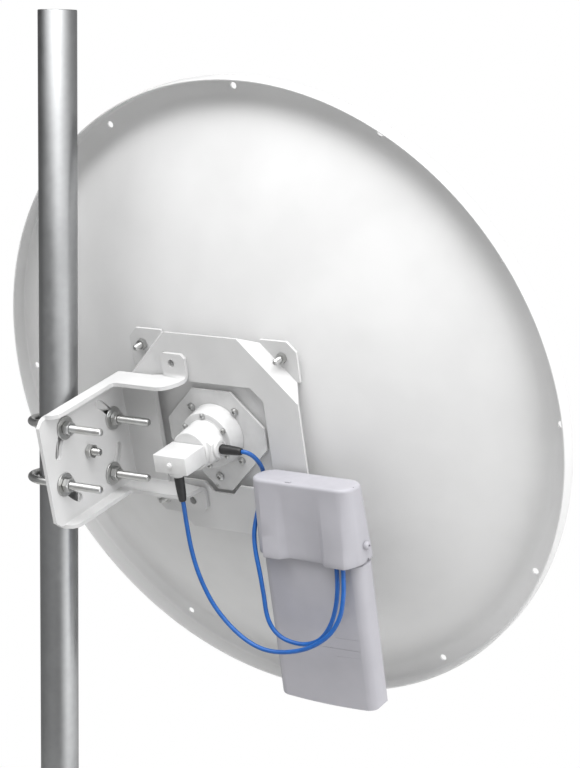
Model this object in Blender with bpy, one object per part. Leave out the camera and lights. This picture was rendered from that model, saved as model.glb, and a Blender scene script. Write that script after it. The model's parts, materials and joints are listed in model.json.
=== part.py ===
"""Parabolic dish antenna on a mast tube, with its tilt bracket, rear feed, radio box and leads.

Metres, +Z up. The origin is the foot of the mast, and the dish looks along +Y.
The mast stands still, the clamp turns about it, and the head tilts on the clamp's pivot bolt.
Everything on the head is written in the head's own axes: X to the right as seen from behind,
Y along the boresight and Z square to both, from the point where pivot and mast axes cross.
"""
import bpy
import bmesh
from math import atan2, cos, pi, radians, sin, sqrt
from mathutils import Matrix, Vector

# Driving dimensions: mast
MAST_R = 0.0195
MAST_WALL = 0.003
MAST_HEIGHT = 1.500
FOOT_THICK = 0.005
PIVOT_HEIGHT = 1.063
TILT = radians(15.0)

# Driving dimensions: reflector
DISH_X = 0.146
FLANGE_Y = 0.186
RIM_R = 0.340
BOWL_R = 0.317
BOWL_DEPTH = 0.109
SHEET = 0.002
LIP_BACK = 0.0182
HOLE_CIRCLE_R = 0.3283
RIM_HOLE_R = 0.0036
RIM_HOLES = 12
DISH_BORE_R = 0.0205
DISH_SIDES = 60

# Driving dimensions: mounting frame behind the bowl
FRAME_Y = 0.070
FRAME_SHEET = 0.003
FRAME_APOTHEM = 0.107
EAR_APOTHEM = 0.1125
EAR_Y = 0.086
EAR_EDGE = 0.102
EAR_BOLT = 0.0854
EAR_HOLE_R = 0.0033
CORNER_NUT_AF = 0.010
CORNER_NUT_T = 0.0052
WINDOW_HALF = 0.066
WINDOW_TOP = 0.056
WINDOW_LOW = -0.0535
NOTCH_LOW = -0.0645

# Driving dimensions: tilt bracket
BRACKET_SHEET = 0.004
FOLD_STEPS = 5
WEB_X = 0.0355
BRACKET_HALF = 0.061
WALL_FRONT_Y = 0.0697
WEB_BACK_Y = -0.066
WALL_END_X = 0.081
TAB_HOLE_R = 0.0042
TAB_HOLE = (0.1086, 0.0755)
SLOT_R = 0.0477
SLOT_HALF_W = 0.0046
SLOT_TRAVEL = radians(20.0)

# Driving dimensions: clamp
ROD_R = 0.004
LEG_SPREAD = 0.0382
LEG_RISE = 0.0285
LEG_END_X = 0.086
GAP = 0.0003
WASHER_R = 0.012
WASHER_T = 0.0016
NUT_AF = 0.013
NUT_T = 0.0066
PIVOT_NUT_T = 0.0058
BOLT_HEAD_T = 0.005
SADDLE_PLATE = 0.006

# Driving dimensions: feed on the dish axis
PLATE_Y = 0.074
PLATE_T = 0.0027
DRUM_Y = 0.055
BODY_Y = 0.027
BLOCK_Y = -0.007
PAD_X = 0.013
PAD_HALF = 0.0115
FEED_BLOCK_HALF_H = 0.0093
FEED_TUBE_R = 0.0190
FEED_TIP_Y = 0.322

# Driving dimensions: radio box, written from its own hang point and leaning a little
BOX_X = 0.267
BOX_HANG_Z = -0.060
BOX_LEAN = radians(-1.2)
BOX_HALF_W = 0.0583
BOX_NECK_HALF_W = 0.0550
BOX_BACK_Y = 0.034
BOX_FRONT_Y = 0.062
BOX_TOP = 0.006
BOX_NECK = -0.0425
BOX_LOW = -0.202
BOX_SAG = 0.0022
BOX_END_R = 0.004
CAP_HALF_LOW = 0.0593
CAP_HALF_TOP = 0.0577
CAP_BACK_R = 0.012
CAP_FRONT_R = 0.010
CAP_ROUNDER = (0.0028, 0.006)
CAP_BACK_Y = 0.028
CAP_FRONT_Y = 0.0645
CAP_TOP = 0.040
CAP_TOP_DROP = 0.0037
CAP_LOW = -0.041
CAP_WALL = 0.002
CAP_SCREW_Y = 0.0465
CHANNEL_DEPTH = 0.0068
CHANNELS = [(-0.0490, -0.0450, -0.0276, -0.0182), (0.0195, 0.0264, 0.0484, 0.0566)]

# Driving dimensions: leads and boots, routes in millimetres
LEAD_R = 0.00225
LEAD_STEP = 0.0075
SIDE_BOOT_LENGTH = 0.0243
LOWER_BOOT_LENGTH = 0.0268
SIDE_PORT_LENGTH = 0.0032
LOWER_PORT_LENGTH = 0.0064
SIDE_LEAD = [(199.2, 41.5, 0.3), (202.0, 41.5, 0.3), (205.4, 42.1, -0.6), (208.3, 44.9, -4.2),
             (209.6, 49.4, -10.6), (208.9, 55.0, -18.4), (207.0, 60.0, -26.6), (205.2, 61.6, -37.6),
             (204.0, 58.0, -49.6), (203.6, 50.6, -60.6), (203.7, 42.2, -71.2), (204.8, 33.6, -84.4),
             (209.4, 25.6, -99.6), (215.6, 19.0, -118.5), (219.6, 14.6, -139.9), (221.6, 12.0, -158.2),
             (225.2, 11.0, -170.4), (232.6, 10.5, -179.6), (244.0, 11.0, -185.4), (262.0, 12.5, -186.8),
             (278.9, 15.0, -180.1), (291.4, 18.0, -164.7), (298.7, 21.5, -145.2), (301.6, 25.2, -124.8),
             (302.1, 27.4, -106.0), (302.2, 28.9, -94.0), (302.2, 30.2, -82.0)]
LOWER_LEAD = [(146.0, 4.0, -43.4), (146.1, 4.0, -50.0), (146.6, 3.2, -69.1), (149.6, 0.6, -94.7),
              (155.9, -1.8, -119.9), (167.6, -3.8, -146.0), (184.1, -5.4, -166.3), (203.8, -6.0, -181.7),
              (224.0, -5.2, -189.8), (244.3, -2.8, -190.8), (264.9, 0.6, -186.7), (282.6, 4.4, -178.8),
              (297.4, 9.0, -166.8), (307.6, 14.2, -149.6), (310.8, 20.0, -130.0), (310.3, 25.2, -112.0),
              (309.7, 27.6, -102.0), (308.9, 28.9, -94.0), (308.6, 30.2, -82.0)]

MATERIALS = {
    "galvanised": ((0.42, 0.43, 0.44), 0.42, 0.85),
    "white_paint": ((0.80, 0.80, 0.79), 0.45, 0.0),
    "dish_paint": ((0.76, 0.76, 0.76), 0.40, 0.0),
    "zinc": ((0.50, 0.49, 0.46), 0.30, 1.0),
    "white_casting": ((0.82, 0.82, 0.81), 0.40, 0.0),
    "grey_plastic": ((0.42, 0.41, 0.44), 0.45, 0.0),
    "black_rubber": ((0.02, 0.02, 0.02), 0.55, 0.0),
    "blue_jacket": ((0.015, 0.10, 0.42), 0.40, 0.0),
    "white_radome": ((0.78, 0.78, 0.76), 0.50, 0.0),
}


def clear_scene():
    for obj in list(bpy.data.objects):
        bpy.data.objects.remove(obj, do_unlink=True)


def material(name):
    """A plain Principled material, made once and shared."""
    mat = bpy.data.materials.get(name)
    if mat is None:
        colour, roughness, metallic = MATERIALS[name]
        mat = bpy.data.materials.new(name)
        mat.use_nodes = True
        shader = mat.node_tree.nodes["Principled BSDF"]
        shader.inputs["Base Color"].default_value = (*colour, 1.0)
        shader.inputs["Roughness"].default_value = roughness
        shader.inputs["Metallic"].default_value = metallic
    return mat


def add_object(name, data, parent, finish=None, location=(0, 0, 0), rotation=(0, 0, 0)):
    """Put a mesh or curve in the scene under its parent empty."""
    obj = bpy.data.objects.new(name, data)
    bpy.context.scene.collection.objects.link(obj)
    obj.parent = parent
    obj.location = location
    obj.rotation_euler = rotation
    if finish:
        data.materials.append(material(finish))
    return obj


def mesh_object(name, bm, parent, finish=None, smooth=True, sheet=False, **place):
    """Turn a bmesh into an object, a closed one with its faces pointing out."""
    if not sheet:
        bmesh.ops.recalc_face_normals(bm, faces=bm.faces)
    mesh = bpy.data.meshes.new(name)
    bm.to_mesh(mesh)
    bm.free()
    if smooth:
        mesh.shade_smooth()
        mesh.set_sharp_from_angle(angle=radians(35))
    return add_object(name, mesh, parent, finish, **place)


def empty(name, location=(0, 0, 0), rotation=(0, 0, 0)):
    obj = bpy.data.objects.new(name, None)
    bpy.context.scene.collection.objects.link(obj)
    obj.location = location
    obj.rotation_euler = rotation
    return obj


def guide(obj):
    """Mark a cutter or a guide, which is no piece of the antenna."""
    obj.hide_render = True
    obj.display_type = "WIRE"
    return obj


def boolean(target, tool, operation="DIFFERENCE"):
    mod = target.modifiers.new(operation.title(), "BOOLEAN")
    mod.operation = operation
    mod.object = guide(tool)
    mod.solver = "EXACT"


def arc_points(centre, radius, start, end, steps):
    """Points on an arc in a plane, both ends included."""
    return [(centre[0] + radius * cos(start + (end - start) * i / steps),
             centre[1] + radius * sin(start + (end - start) * i / steps)) for i in range(steps + 1)]


def circle_points(radius, sides, centre=(0.0, 0.0), phase=0.0):
    return arc_points(centre, radius, phase, phase + 2 * pi, sides)[:-1]


def turned(profile, sides):
    """Turn a closed (radius, height) outline about Z; points at radius 0 close into poles."""
    bm = bmesh.new()
    verts = [bm.verts.new((r, 0.0, h)) for r, h in profile]
    edges = [bm.edges.new((verts[i], verts[(i + 1) % len(verts)])) for i in range(len(verts))
             if profile[i][0] > 0 or profile[(i + 1) % len(verts)][0] > 0]
    bmesh.ops.spin(bm, geom=verts + edges, cent=(0, 0, 0), axis=(0, 0, 1), dvec=(0, 0, 0),
                   angle=2 * pi, steps=sides, use_merge=True, use_duplicate=False)
    bmesh.ops.remove_doubles(bm, verts=bm.verts, dist=1e-6)
    return bm


def prism(outline, depth):
    """Extrude a flat XY outline up along Z."""
    bm = bmesh.new()
    face = bm.faces.new([bm.verts.new((x, y, 0.0)) for x, y in outline])
    top = bmesh.ops.extrude_face_region(bm, geom=[face])["geom"]
    raised = [v for v in top if isinstance(v, bmesh.types.BMVert)]
    bmesh.ops.translate(bm, verts=raised, vec=(0, 0, depth))
    return bm


def lofted(rings):
    """Skin a stack of equally long rings of points and close both ends."""
    bm = bmesh.new()
    loops = [[bm.verts.new(point) for point in ring] for ring in rings]
    for low, high in zip(loops, loops[1:]):
        for i in range(len(low)):
            j = (i + 1) % len(low)
            bm.faces.new((low[i], low[j], high[j], high[i]))
    bm.faces.new(loops[0][::-1])
    bm.faces.new(loops[-1])
    return bm


def ring_prism(outer, inner, depth):
    """A flat ring with equally many points on both outlines, extruded along Z."""
    bm = bmesh.new()
    low_out, low_in, top_out, top_in = [[bm.verts.new((x, y, z)) for x, y in outline]
                                        for z in (0.0, depth) for outline in (outer, inner)]
    n = len(outer)
    for i in range(n):
        j = (i + 1) % n
        bm.faces.new((low_out[i], low_out[j], low_in[j], low_in[i]))
        bm.faces.new((top_out[i], top_in[i], top_in[j], top_out[j]))
        bm.faces.new((low_out[i], top_out[i], top_out[j], low_out[j]))
        bm.faces.new((low_in[i], low_in[j], top_in[j], top_in[i]))
    return bm


def hex_points(across_flats):
    """Corners and flat middles of a hexagon, twelve points in all."""
    corner = across_flats / sqrt(3)
    radii = [corner, across_flats / 2] * 6
    return [(radii[i] * cos(i * pi / 6), radii[i] * sin(i * pi / 6)) for i in range(12)]


def rotated(bm, angle, axis):
    bmesh.ops.rotate(bm, verts=bm.verts, cent=(0, 0, 0), matrix=Matrix.Rotation(angle, 3, axis))
    return bm


def moved(bm, x, y, z):
    bmesh.ops.translate(bm, verts=bm.verts, vec=(x, y, z))
    return bm


def joined(parts):
    """Collect several bmeshes in one, for cutters whose pieces don't touch."""
    whole = bmesh.new()
    for bm in parts:
        mesh = bpy.data.meshes.new("part")
        bm.to_mesh(mesh)
        bm.free()
        whole.from_mesh(mesh)
        bpy.data.meshes.remove(mesh)
    return whole


def along_x(bm):
    """Turn a piece built along Z so that it runs along +X."""
    return rotated(bm, pi / 2, "Y")


def along_y(bm):
    """Turn a piece built along Z so that it runs along +Y, its own Y going down."""
    return rotated(bm, -pi / 2, "X")


def smooth_route(points, spacing):
    """Even points on a smooth curve through a route given in millimetres."""
    pts = [Vector(p) / 1000 for p in points]
    fine = []
    for i in range(len(pts) - 1):
        p0 = pts[i - 1] if i else pts[0] * 2 - pts[1]
        p3 = pts[i + 2] if i + 2 < len(pts) else pts[-1] * 2 - pts[-2]
        p1, p2 = pts[i], pts[i + 1]
        for k in range(12):
            t = k / 12
            fine.append(0.5 * (2 * p1 + (p2 - p0) * t + (2 * p0 - 5 * p1 + 4 * p2 - p3) * t * t
                               + (3 * p1 - p0 - 3 * p2 + p3) * t ** 3))
    fine.append(pts[-1])
    reach = [0.0]
    for a, b in zip(fine, fine[1:]):
        reach.append(reach[-1] + (b - a).length)
    count = max(2, round(reach[-1] / spacing))
    even, j = [], 0
    for i in range(count + 1):
        want = reach[-1] * i / count
        while j < len(fine) - 2 and reach[j + 1] < want:
            j += 1
        span = reach[j + 1] - reach[j]
        even.append(fine[j].lerp(fine[j + 1], (want - reach[j]) / span))
    return even


def tube(name, points, radius, parent, finish, resolution):
    """A round rod or lead along points, as a bevelled curve with filled ends."""
    curve = bpy.data.curves.new(name, "CURVE")
    curve.dimensions = "3D"
    curve.bevel_depth = radius
    curve.bevel_resolution = resolution
    curve.use_fill_caps = True
    spline = curve.splines.new("POLY")
    spline.points.add(len(points) - 1)
    for point, place in zip(spline.points, points):
        point.co = (*place, 1.0)
    return add_object(name, curve, parent, finish)


def mast_tube(root):
    """A plain tube, closed at its foot by the plate it stands on."""
    bore = MAST_R - MAST_WALL
    profile = [(0, 0), (MAST_R, 0), (MAST_R, MAST_HEIGHT), (bore, MAST_HEIGHT), (bore, FOOT_THICK),
               (0, FOOT_THICK)]
    mesh_object("mast_tube", turned(profile, 32), root, "galvanised")


def leg_places():
    """Where the four legs of the two U-bolts cross the web: Y and Z from the pivot."""
    return {"upper_back": (-LEG_SPREAD, LEG_RISE), "upper_front": (LEG_SPREAD, LEG_RISE),
            "lower_back": (-LEG_SPREAD, -LEG_RISE), "lower_front": (LEG_SPREAD, -LEG_RISE)}


def u_bolt(name, rise, clamp):
    """A round rod bent half round the mast, with both legs running out to the right."""
    bend_x = LEG_SPREAD - ROD_R - MAST_R - GAP
    bend = arc_points((bend_x, 0.0), LEG_SPREAD, pi / 2, 3 * pi / 2, 20)
    legs_in = [(LEG_END_X, LEG_SPREAD), (0.050, LEG_SPREAD), (0.030, LEG_SPREAD)]
    route = legs_in + bend + [(x, -y) for x, y in reversed(legs_in)]
    tube(name, [(x, y, rise) for x, y in route], ROD_R, clamp, "zinc", 4)


def saddle_block(clamp):
    """The block between mast and web, hollowed to the mast and relieved for the pivot bolt's head."""
    back_x = WEB_X - GAP
    half_y, half_z, plate_t = 0.044, 0.037, SADDLE_PLATE
    seat = MAST_R + GAP
    angle = radians(52)
    hollow = [(seat * cos(a), seat * sin(a)) for a in (angle - 2 * angle * i / 12 for i in range(13))]
    outline = [(back_x, -half_y), (back_x, half_y), (back_x - plate_t, half_y), (back_x - plate_t, 0.024),
               (hollow[0][0], 0.021)] + hollow
    outline += [(hollow[-1][0], -0.021), (back_x - plate_t, -0.024), (back_x - plate_t, -half_y)]
    block = moved(prism(outline, 2 * half_z), 0, 0, -half_z)
    block = mesh_object("saddle_block", block, clamp, "zinc", smooth=False)
    bore = circle_points(ROD_R + GAP, 12)
    places = [*leg_places().values(), (0, 0)]
    holes = [moved(along_x(prism(bore, 0.030)), 0.020, y, z) for y, z in places]
    half_pocket, pocket_rise = 0.018, 0.013
    pocket = prism([(0.010, -half_pocket), (back_x - plate_t, -half_pocket), (back_x - plate_t, half_pocket),
                    (0.010, half_pocket)], 2 * pocket_rise)
    boolean(block, mesh_object("saddle_holes", joined(holes), clamp))
    boolean(block, mesh_object("saddle_pocket", moved(pocket, 0, 0, -pocket_rise), clamp))


def washers_and_nuts(clamp):
    """A broad washer and a hexagon nut on each leg, and a nut on the pivot bolt."""
    web_face = WEB_X + BRACKET_SHEET
    bore = circle_points(ROD_R + GAP, 24)
    for where, (y, z) in leg_places().items():
        washer = along_x(ring_prism(circle_points(WASHER_R, 24), bore, WASHER_T))
        mesh_object(f"leg_washer_{where}", washer, clamp, "zinc", location=(web_face + GAP, y, z))
        nut = along_x(ring_prism(hex_points(NUT_AF), circle_points(ROD_R + GAP, 12), NUT_T))
        mesh_object(f"leg_nut_{where}", nut, clamp, "zinc", location=(web_face + WASHER_T + 2 * GAP, y, z))
    nut = along_x(ring_prism(hex_points(NUT_AF), circle_points(ROD_R + GAP, 12), PIVOT_NUT_T))
    mesh_object("pivot_nut", nut, clamp, "zinc", location=(web_face + GAP, 0, 0))


def pivot_bolt(clamp):
    """A hexagon bolt from the saddle's pocket through the web, about which the bracket tilts."""
    head_x = WEB_X - GAP - SADDLE_PLATE
    head = prism(hex_points(NUT_AF), BOLT_HEAD_T)
    bolt = mesh_object("pivot_bolt", along_x(head), clamp, "zinc",
                       location=(head_x - GAP - BOLT_HEAD_T, 0, 0))
    shank = mesh_object("pivot_shank", along_x(prism(circle_points(ROD_R, 16), 0.0285)), clamp,
                        location=(head_x - GAP - 0.003, 0, 0))
    boolean(bolt, shank, "UNION")


def bevel_edges(bm, test, width, steps):
    """Round the edges whose two ends pass a test."""
    edges = [e for e in bm.edges if len(e.link_faces) == 2 and test(e.verts[0].co) and test(e.verts[1].co)]
    bmesh.ops.bevel(bm, geom=edges, offset=width, segments=steps, profile=0.5, affect="EDGES")


def bracket_sheet():
    """The outer skin of the folded bracket: web, front wall, two flanges and two tabs."""
    tab_y = WALL_FRONT_Y - BRACKET_SHEET
    bm = bmesh.new()

    def face(points):
        return bm.faces.new([vert(p) for p in points])

    known = {}

    def vert(p):
        key = tuple(round(c, 6) for c in p)
        if key not in known:
            known[key] = bm.verts.new(p)
        return known[key]

    h, back = BRACKET_HALF, WEB_BACK_Y
    clip = 0.010
    face([(WEB_X, back + clip, h), (WEB_X, back, h - clip), (WEB_X, back, clip - h), (WEB_X, back + clip, -h),
          (WEB_X, WALL_FRONT_Y, -h), (WEB_X, WALL_FRONT_Y, h)])
    face([(WEB_X, WALL_FRONT_Y, h), (WEB_X, WALL_FRONT_Y, -h), (WALL_END_X, WALL_FRONT_Y, -h),
          (WALL_END_X, WALL_FRONT_Y, h)])
    flange = [(WEB_X, back + clip), (0.048, back + 0.0125), (0.0525, back + 0.017),
              (0.0535, back + 0.023), (0.0535, 0.032), (0.055, 0.0355), (0.059, 0.037), (0.1075, 0.037),
              (0.113, 0.039), (0.119, 0.045), (0.1235, 0.054), (0.1255, tab_y), (0.097, tab_y),
              (0.095, WALL_FRONT_Y), (WALL_END_X, WALL_FRONT_Y), (WEB_X, WALL_FRONT_Y)]
    tab = [(0.097, h), (0.097, 0.083), (0.100, 0.086), (0.1215, 0.086), (0.1255, 0.0815), (0.1255, h)]
    for side in (1, -1):
        face([(x, y, side * h) for x, y in flange][::side])
        face([(x, tab_y, side * z) for x, z in tab][::side])
    bmesh.ops.recalc_face_normals(bm, faces=bm.faces)
    web = min(bm.faces, key=lambda f: f.calc_center_median().x)
    if web.normal.x > 0:
        bmesh.ops.reverse_faces(bm, faces=bm.faces)
    bevel_edges(bm, lambda c: abs(c.x - WEB_X) < 1e-5 or abs(abs(c.z) - h) < 1e-5, 0.005, FOLD_STEPS)
    return bm


def slot_outline(angle):
    """A slot on an arc about the pivot, with round ends, in the web's Y and Z."""
    start, end = angle - SLOT_TRAVEL, angle + SLOT_TRAVEL
    outer = arc_points((0, 0), SLOT_R + SLOT_HALF_W, start, end, 10)
    inner = arc_points((0, 0), SLOT_R - SLOT_HALF_W, end, start, 10)
    cap = arc_points((SLOT_R * cos(end), SLOT_R * sin(end)), SLOT_HALF_W, end, end + pi, 6)[1:-1]
    low = (SLOT_R * cos(start), SLOT_R * sin(start))
    foot = arc_points(low, SLOT_HALF_W, start + pi, start + 2 * pi, 6)[1:-1]
    return outer + cap + inner + foot


def web_cutter(outline):
    """A cutter through the web from an outline in Y and Z."""
    return moved(along_x(prism([(-z, y) for y, z in outline], 0.012)), WEB_X - 0.004, 0, 0)


def mount_bracket(head):
    """The folded bracket, with four arc slots about the pivot and a hole in each tab."""
    bracket = mesh_object("mount_bracket", bracket_sheet(), head, "white_paint", sheet=True)
    fold = bracket.modifiers.new("Sheet", "SOLIDIFY")
    fold.thickness = BRACKET_SHEET
    fold.offset = -1
    fold.use_even_offset = True
    base = atan2(LEG_RISE, LEG_SPREAD)
    angles = (base, pi - base, pi + base, -base)
    cuts = [web_cutter(slot_outline(a)) for a in angles]
    cuts.append(web_cutter(circle_points(ROD_R + GAP, 16)))
    tab_hole = circle_points(TAB_HOLE_R, 16)
    cuts += [moved(along_y(prism(tab_hole, 0.012)), TAB_HOLE[0], 0.0615, side * TAB_HOLE[1])
             for side in (1, -1)]
    boolean(bracket, mesh_object("bracket_holes", joined(cuts), head))


def frame_sheet():
    """The rear skin of the frame: an octagon with a window, four sloping walls and four corner ears."""
    bm = bmesh.new()
    a = FRAME_APOTHEM
    k = a * (sqrt(2) - 1)
    outer = [(k, a), (a, k), (a, -k), (k, -a), (-k, -a), (-a, -k), (-a, k), (-k, a)]
    w, c = WINDOW_HALF, 0.0135
    window = [(w - c, WINDOW_TOP), (w, WINDOW_TOP - c), (w, WINDOW_LOW + c), (w - c, WINDOW_LOW),
              (0.0222, WINDOW_LOW), (0.0120, NOTCH_LOW), (-0.0120, NOTCH_LOW), (-0.0222, WINDOW_LOW),
              (c - w, WINDOW_LOW), (-w, WINDOW_LOW + c), (-w, WINDOW_TOP - c), (c - w, WINDOW_TOP)]
    out = [bm.verts.new((x, 0, z)) for x, z in outer]
    inn = [bm.verts.new((x, 0, z)) for x, z in window]
    strips = [(out[0], out[1], inn[1], inn[0]), (out[1], out[2], inn[2], inn[1]),
              (out[2], out[3], inn[3], inn[2]), (out[3], inn[5], inn[4], inn[3]),
              (out[3], out[4], inn[6], inn[5]), (out[4], inn[8], inn[7], inn[6]),
              (out[4], out[5], inn[9], inn[8]), (out[5], out[6], inn[10], inn[9]),
              (out[6], out[7], inn[11], inn[10]), (out[7], out[0], inn[0], inn[11])]
    for strip in strips:
        bm.faces.new(strip)
    drop = EAR_Y - FRAME_Y
    spread = EAR_APOTHEM * sqrt(2)
    near, far = 0.0605, spread - 0.0605
    clip = 0.010
    corners = [(1, 1, 0, 1), (1, -1, 2, 3), (-1, -1, 4, 5), (-1, 1, 6, 7)]
    for sx, sz, i, j in corners:
        first = (near, far) if abs(out[i].co.x) < abs(out[i].co.z) else (far, near)
        start = bm.verts.new((sx * first[0], drop, sz * first[1]))
        end = bm.verts.new((sx * first[1], drop, sz * first[0]))
        bm.faces.new((out[i], start, end, out[j]))
        edge = EAR_EDGE
        side_a = [(first[0], edge), (edge - clip, edge), (edge, edge - clip), (edge, first[0])]
        side_b = [(edge, first[1]), (edge, edge - clip), (edge - clip, edge), (first[1], edge)]
        rim = side_a if first[0] < first[1] else side_b
        verts = [bm.verts.new((sx * x, drop, sz * z)) for x, z in rim]
        bm.faces.new([start] + verts + [end])
    bmesh.ops.recalc_face_normals(bm, faces=bm.faces)
    plate = next(f for f in bm.faces if all(abs(v.co.y) < 1e-6 for v in f.verts))
    if plate.normal.y > 0:
        bmesh.ops.reverse_faces(bm, faces=bm.faces)
    return bm


def mount_frame(head):
    """The folded frame that stands off the bowl and carries the bracket."""
    frame = mesh_object("mount_frame", frame_sheet(), head, "white_paint", sheet=True,
                        location=(DISH_X, FRAME_Y, 0))
    fold = frame.modifiers.new("Sheet", "SOLIDIFY")
    fold.thickness = FRAME_SHEET
    fold.offset = -1
    fold.use_even_offset = True
    tab_hole, ear_hole, reach = circle_points(TAB_HOLE_R, 16), circle_points(EAR_HOLE_R, 12), 0.012
    cuts = [moved(along_y(prism(tab_hole, reach)), TAB_HOLE[0], FRAME_Y - 0.005, side * TAB_HOLE[1])
            for side in (1, -1)]
    cuts += [moved(along_y(prism(ear_hole, reach)), DISH_X + sx * EAR_BOLT, EAR_Y - 0.003, sz * EAR_BOLT)
             for sx in (1, -1) for sz in (1, -1)]
    boolean(frame, mesh_object("frame_holes", joined(cuts), head))


def bowl_back(radius):
    """How far behind the flange the bowl's rear skin lies at a radius."""
    return BOWL_DEPTH * (1 - (radius / BOWL_R) ** 2)


def dish_bowl(head):
    """The spun bowl of the reflector, bored for the feed and its fixings."""
    steps = 10
    radii = [DISH_BORE_R + (BOWL_R - DISH_BORE_R) * i / steps for i in range(steps + 1)]
    rear = [(r, -bowl_back(r)) for r in radii]
    front = [(r, SHEET - bowl_back(r)) for r in radii]
    place = {"location": (DISH_X, FLANGE_Y, 0), "rotation": (-pi / 2, 0, 0)}
    dish = mesh_object("dish_bowl", turned(rear + front[::-1], DISH_SIDES), head, "dish_paint", **place)
    cuts = [moved(prism(circle_points(EAR_HOLE_R, 12), 0.030), sx * EAR_BOLT, sy * EAR_BOLT, -0.108)
            for sx in (1, -1) for sy in (1, -1)]
    boolean(dish, mesh_object("bowl_holes", joined(cuts), head, **place))


def dish_rim(head):
    """The reflector's flat flange with its twelve holes, and the lip turned back at its edge."""
    lip_in, lip_out, chamfer = RIM_R - SHEET, RIM_R, 0.0015
    profile = [(BOWL_R + GAP, 0.0), (lip_in, 0.0), (lip_in, -LIP_BACK), (lip_out, -LIP_BACK),
               (lip_out, SHEET - chamfer), (lip_out - chamfer, SHEET), (BOWL_R + GAP, SHEET)]
    place = {"location": (DISH_X, FLANGE_Y, 0), "rotation": (-pi / 2, 0, 0)}
    rim = mesh_object("dish_rim", turned(profile, DISH_SIDES), head, "dish_paint", **place)
    cuts = []
    for i in range(RIM_HOLES):
        a = 2 * pi * i / RIM_HOLES
        hole = prism(circle_points(RIM_HOLE_R, 12), 0.010)
        cuts.append(moved(hole, HOLE_CIRCLE_R * cos(a), HOLE_CIRCLE_R * sin(a), -0.004))
    boolean(rim, mesh_object("rim_holes", joined(cuts), head, **place))


def corner_bolts(head):
    """Four shouldered bolts through the bowl that hold the frame's ears, each with its nut."""
    reach = bowl_back(EAR_BOLT * sqrt(2))
    skin_y = FLANGE_Y - reach
    stud = 0.003
    ear_front = EAR_Y + FRAME_SHEET
    names = {(1, 1): "upper_right", (1, -1): "lower_right", (-1, 1): "upper_left", (-1, -1): "lower_left"}
    slope_clear, shoulder, tail_y = 0.0022, 0.006, EAR_Y - 0.015
    head_low = skin_y + SHEET + slope_clear
    profile = [(0, tail_y), (stud, tail_y), (stud, ear_front + GAP), (shoulder, ear_front + GAP),
               (shoulder, skin_y - slope_clear), (stud, skin_y - slope_clear), (stud, head_low),
               (0.0065, head_low), (0.005, head_low + 0.0026), (0, head_low + 0.0032)]
    for (sx, sz), where in names.items():
        mesh_object(f"corner_bolt_{where}", along_y(turned(profile, 16)), head, "zinc",
                    location=(DISH_X + sx * EAR_BOLT, 0, sz * EAR_BOLT))
        nut = along_y(ring_prism(hex_points(CORNER_NUT_AF), circle_points(stud + GAP, 12), CORNER_NUT_T))
        mesh_object(f"corner_nut_{where}", nut, head, "zinc",
                    location=(DISH_X + sx * EAR_BOLT, EAR_Y - GAP - CORNER_NUT_T, sz * EAR_BOLT))


def feed_plate(head):
    """A clipped square plate, set cornerwise, that carries the feed on the bowl's crown."""
    diag, top, side, low = 0.050 * sqrt(2), 0.047, 0.059, 0.062
    outline = [(diag - top, top), (side, diag - side), (side, side - diag), (diag - low, -low),
               (low - diag, -low), (-side, side - diag), (-side, diag - side), (top - diag, top)]
    plate = prism([(x, -z) for x, z in outline], PLATE_T)
    obj = mesh_object("feed_plate", along_y(plate), head, "white_casting", smooth=False,
                      location=(DISH_X, PLATE_Y, 0))
    bore = along_y(prism(circle_points(DISH_BORE_R, 32), 0.012))
    boolean(obj, mesh_object("plate_bore", bore, head, location=(DISH_X, PLATE_Y - 0.004, 0)))


def feed_drum(head):
    """A shallow drum, wider at the plate, that holds the rear part of the feed."""
    profile = [(0, DRUM_Y), (0.0295, DRUM_Y), (0.0305, DRUM_Y + 0.001), (0.0327, PLATE_Y - GAP),
               (0, PLATE_Y - GAP)]
    mesh_object("feed_drum", along_y(turned(profile, 40)), head, "white_casting", location=(DISH_X, 0, 0))


def feed_body(head):
    """A tapered round body with a square pad on its right for the side port."""
    profile = [(0, BODY_Y), (0.0205, BODY_Y), (0.0232, DRUM_Y - GAP), (0, DRUM_Y - GAP)]
    body = mesh_object("feed_body", along_y(turned(profile, 40)), head, "white_casting",
                       location=(DISH_X, 0, 0))
    half, chamfer = PAD_HALF, 0.003
    pad = prism([(0, -half), (half - chamfer, -half), (half, chamfer - half), (half, half - chamfer),
                 (half - chamfer, half), (0, half)], 0.021)
    pad_guide = mesh_object("pad_guide", along_y(pad), head, smooth=False,
                            location=(DISH_X + PAD_X, 0.0305, 0))
    boolean(body, pad_guide, "UNION")


def feed_block(head):
    """The rectangular rear port, a flat block with a small peg at its back."""
    half_w, half_h, length = 0.0193, FEED_BLOCK_HALF_H, BODY_Y - GAP - BLOCK_Y
    outline = [(-half_w, -half_h), (half_w, -half_h), (half_w, half_h), (-half_w, half_h)]
    block = along_y(prism(outline, length))
    obj = mesh_object("feed_block", block, head, "white_casting", smooth=False, location=(DISH_X, BLOCK_Y, 0))
    peg = along_y(turned([(0, 0), (0.0014, 0), (0.0024, 0.001), (0.0024, 0.006), (0, 0.006)], 12))
    boolean(obj, mesh_object("peg_guide", peg, head, location=(DISH_X, BLOCK_Y - 0.0035, 0)), "UNION")


def port(name, head, length, place, rotation):
    """A round port flange that the boot pushes on."""
    radius, chamfer = 0.0095, 0.001
    profile = [(0, 0), (radius, 0), (radius, length - chamfer), (radius - chamfer, length), (0, length)]
    mesh_object(name, turned(profile, 24), head, "white_casting", location=place, rotation=rotation)


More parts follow.
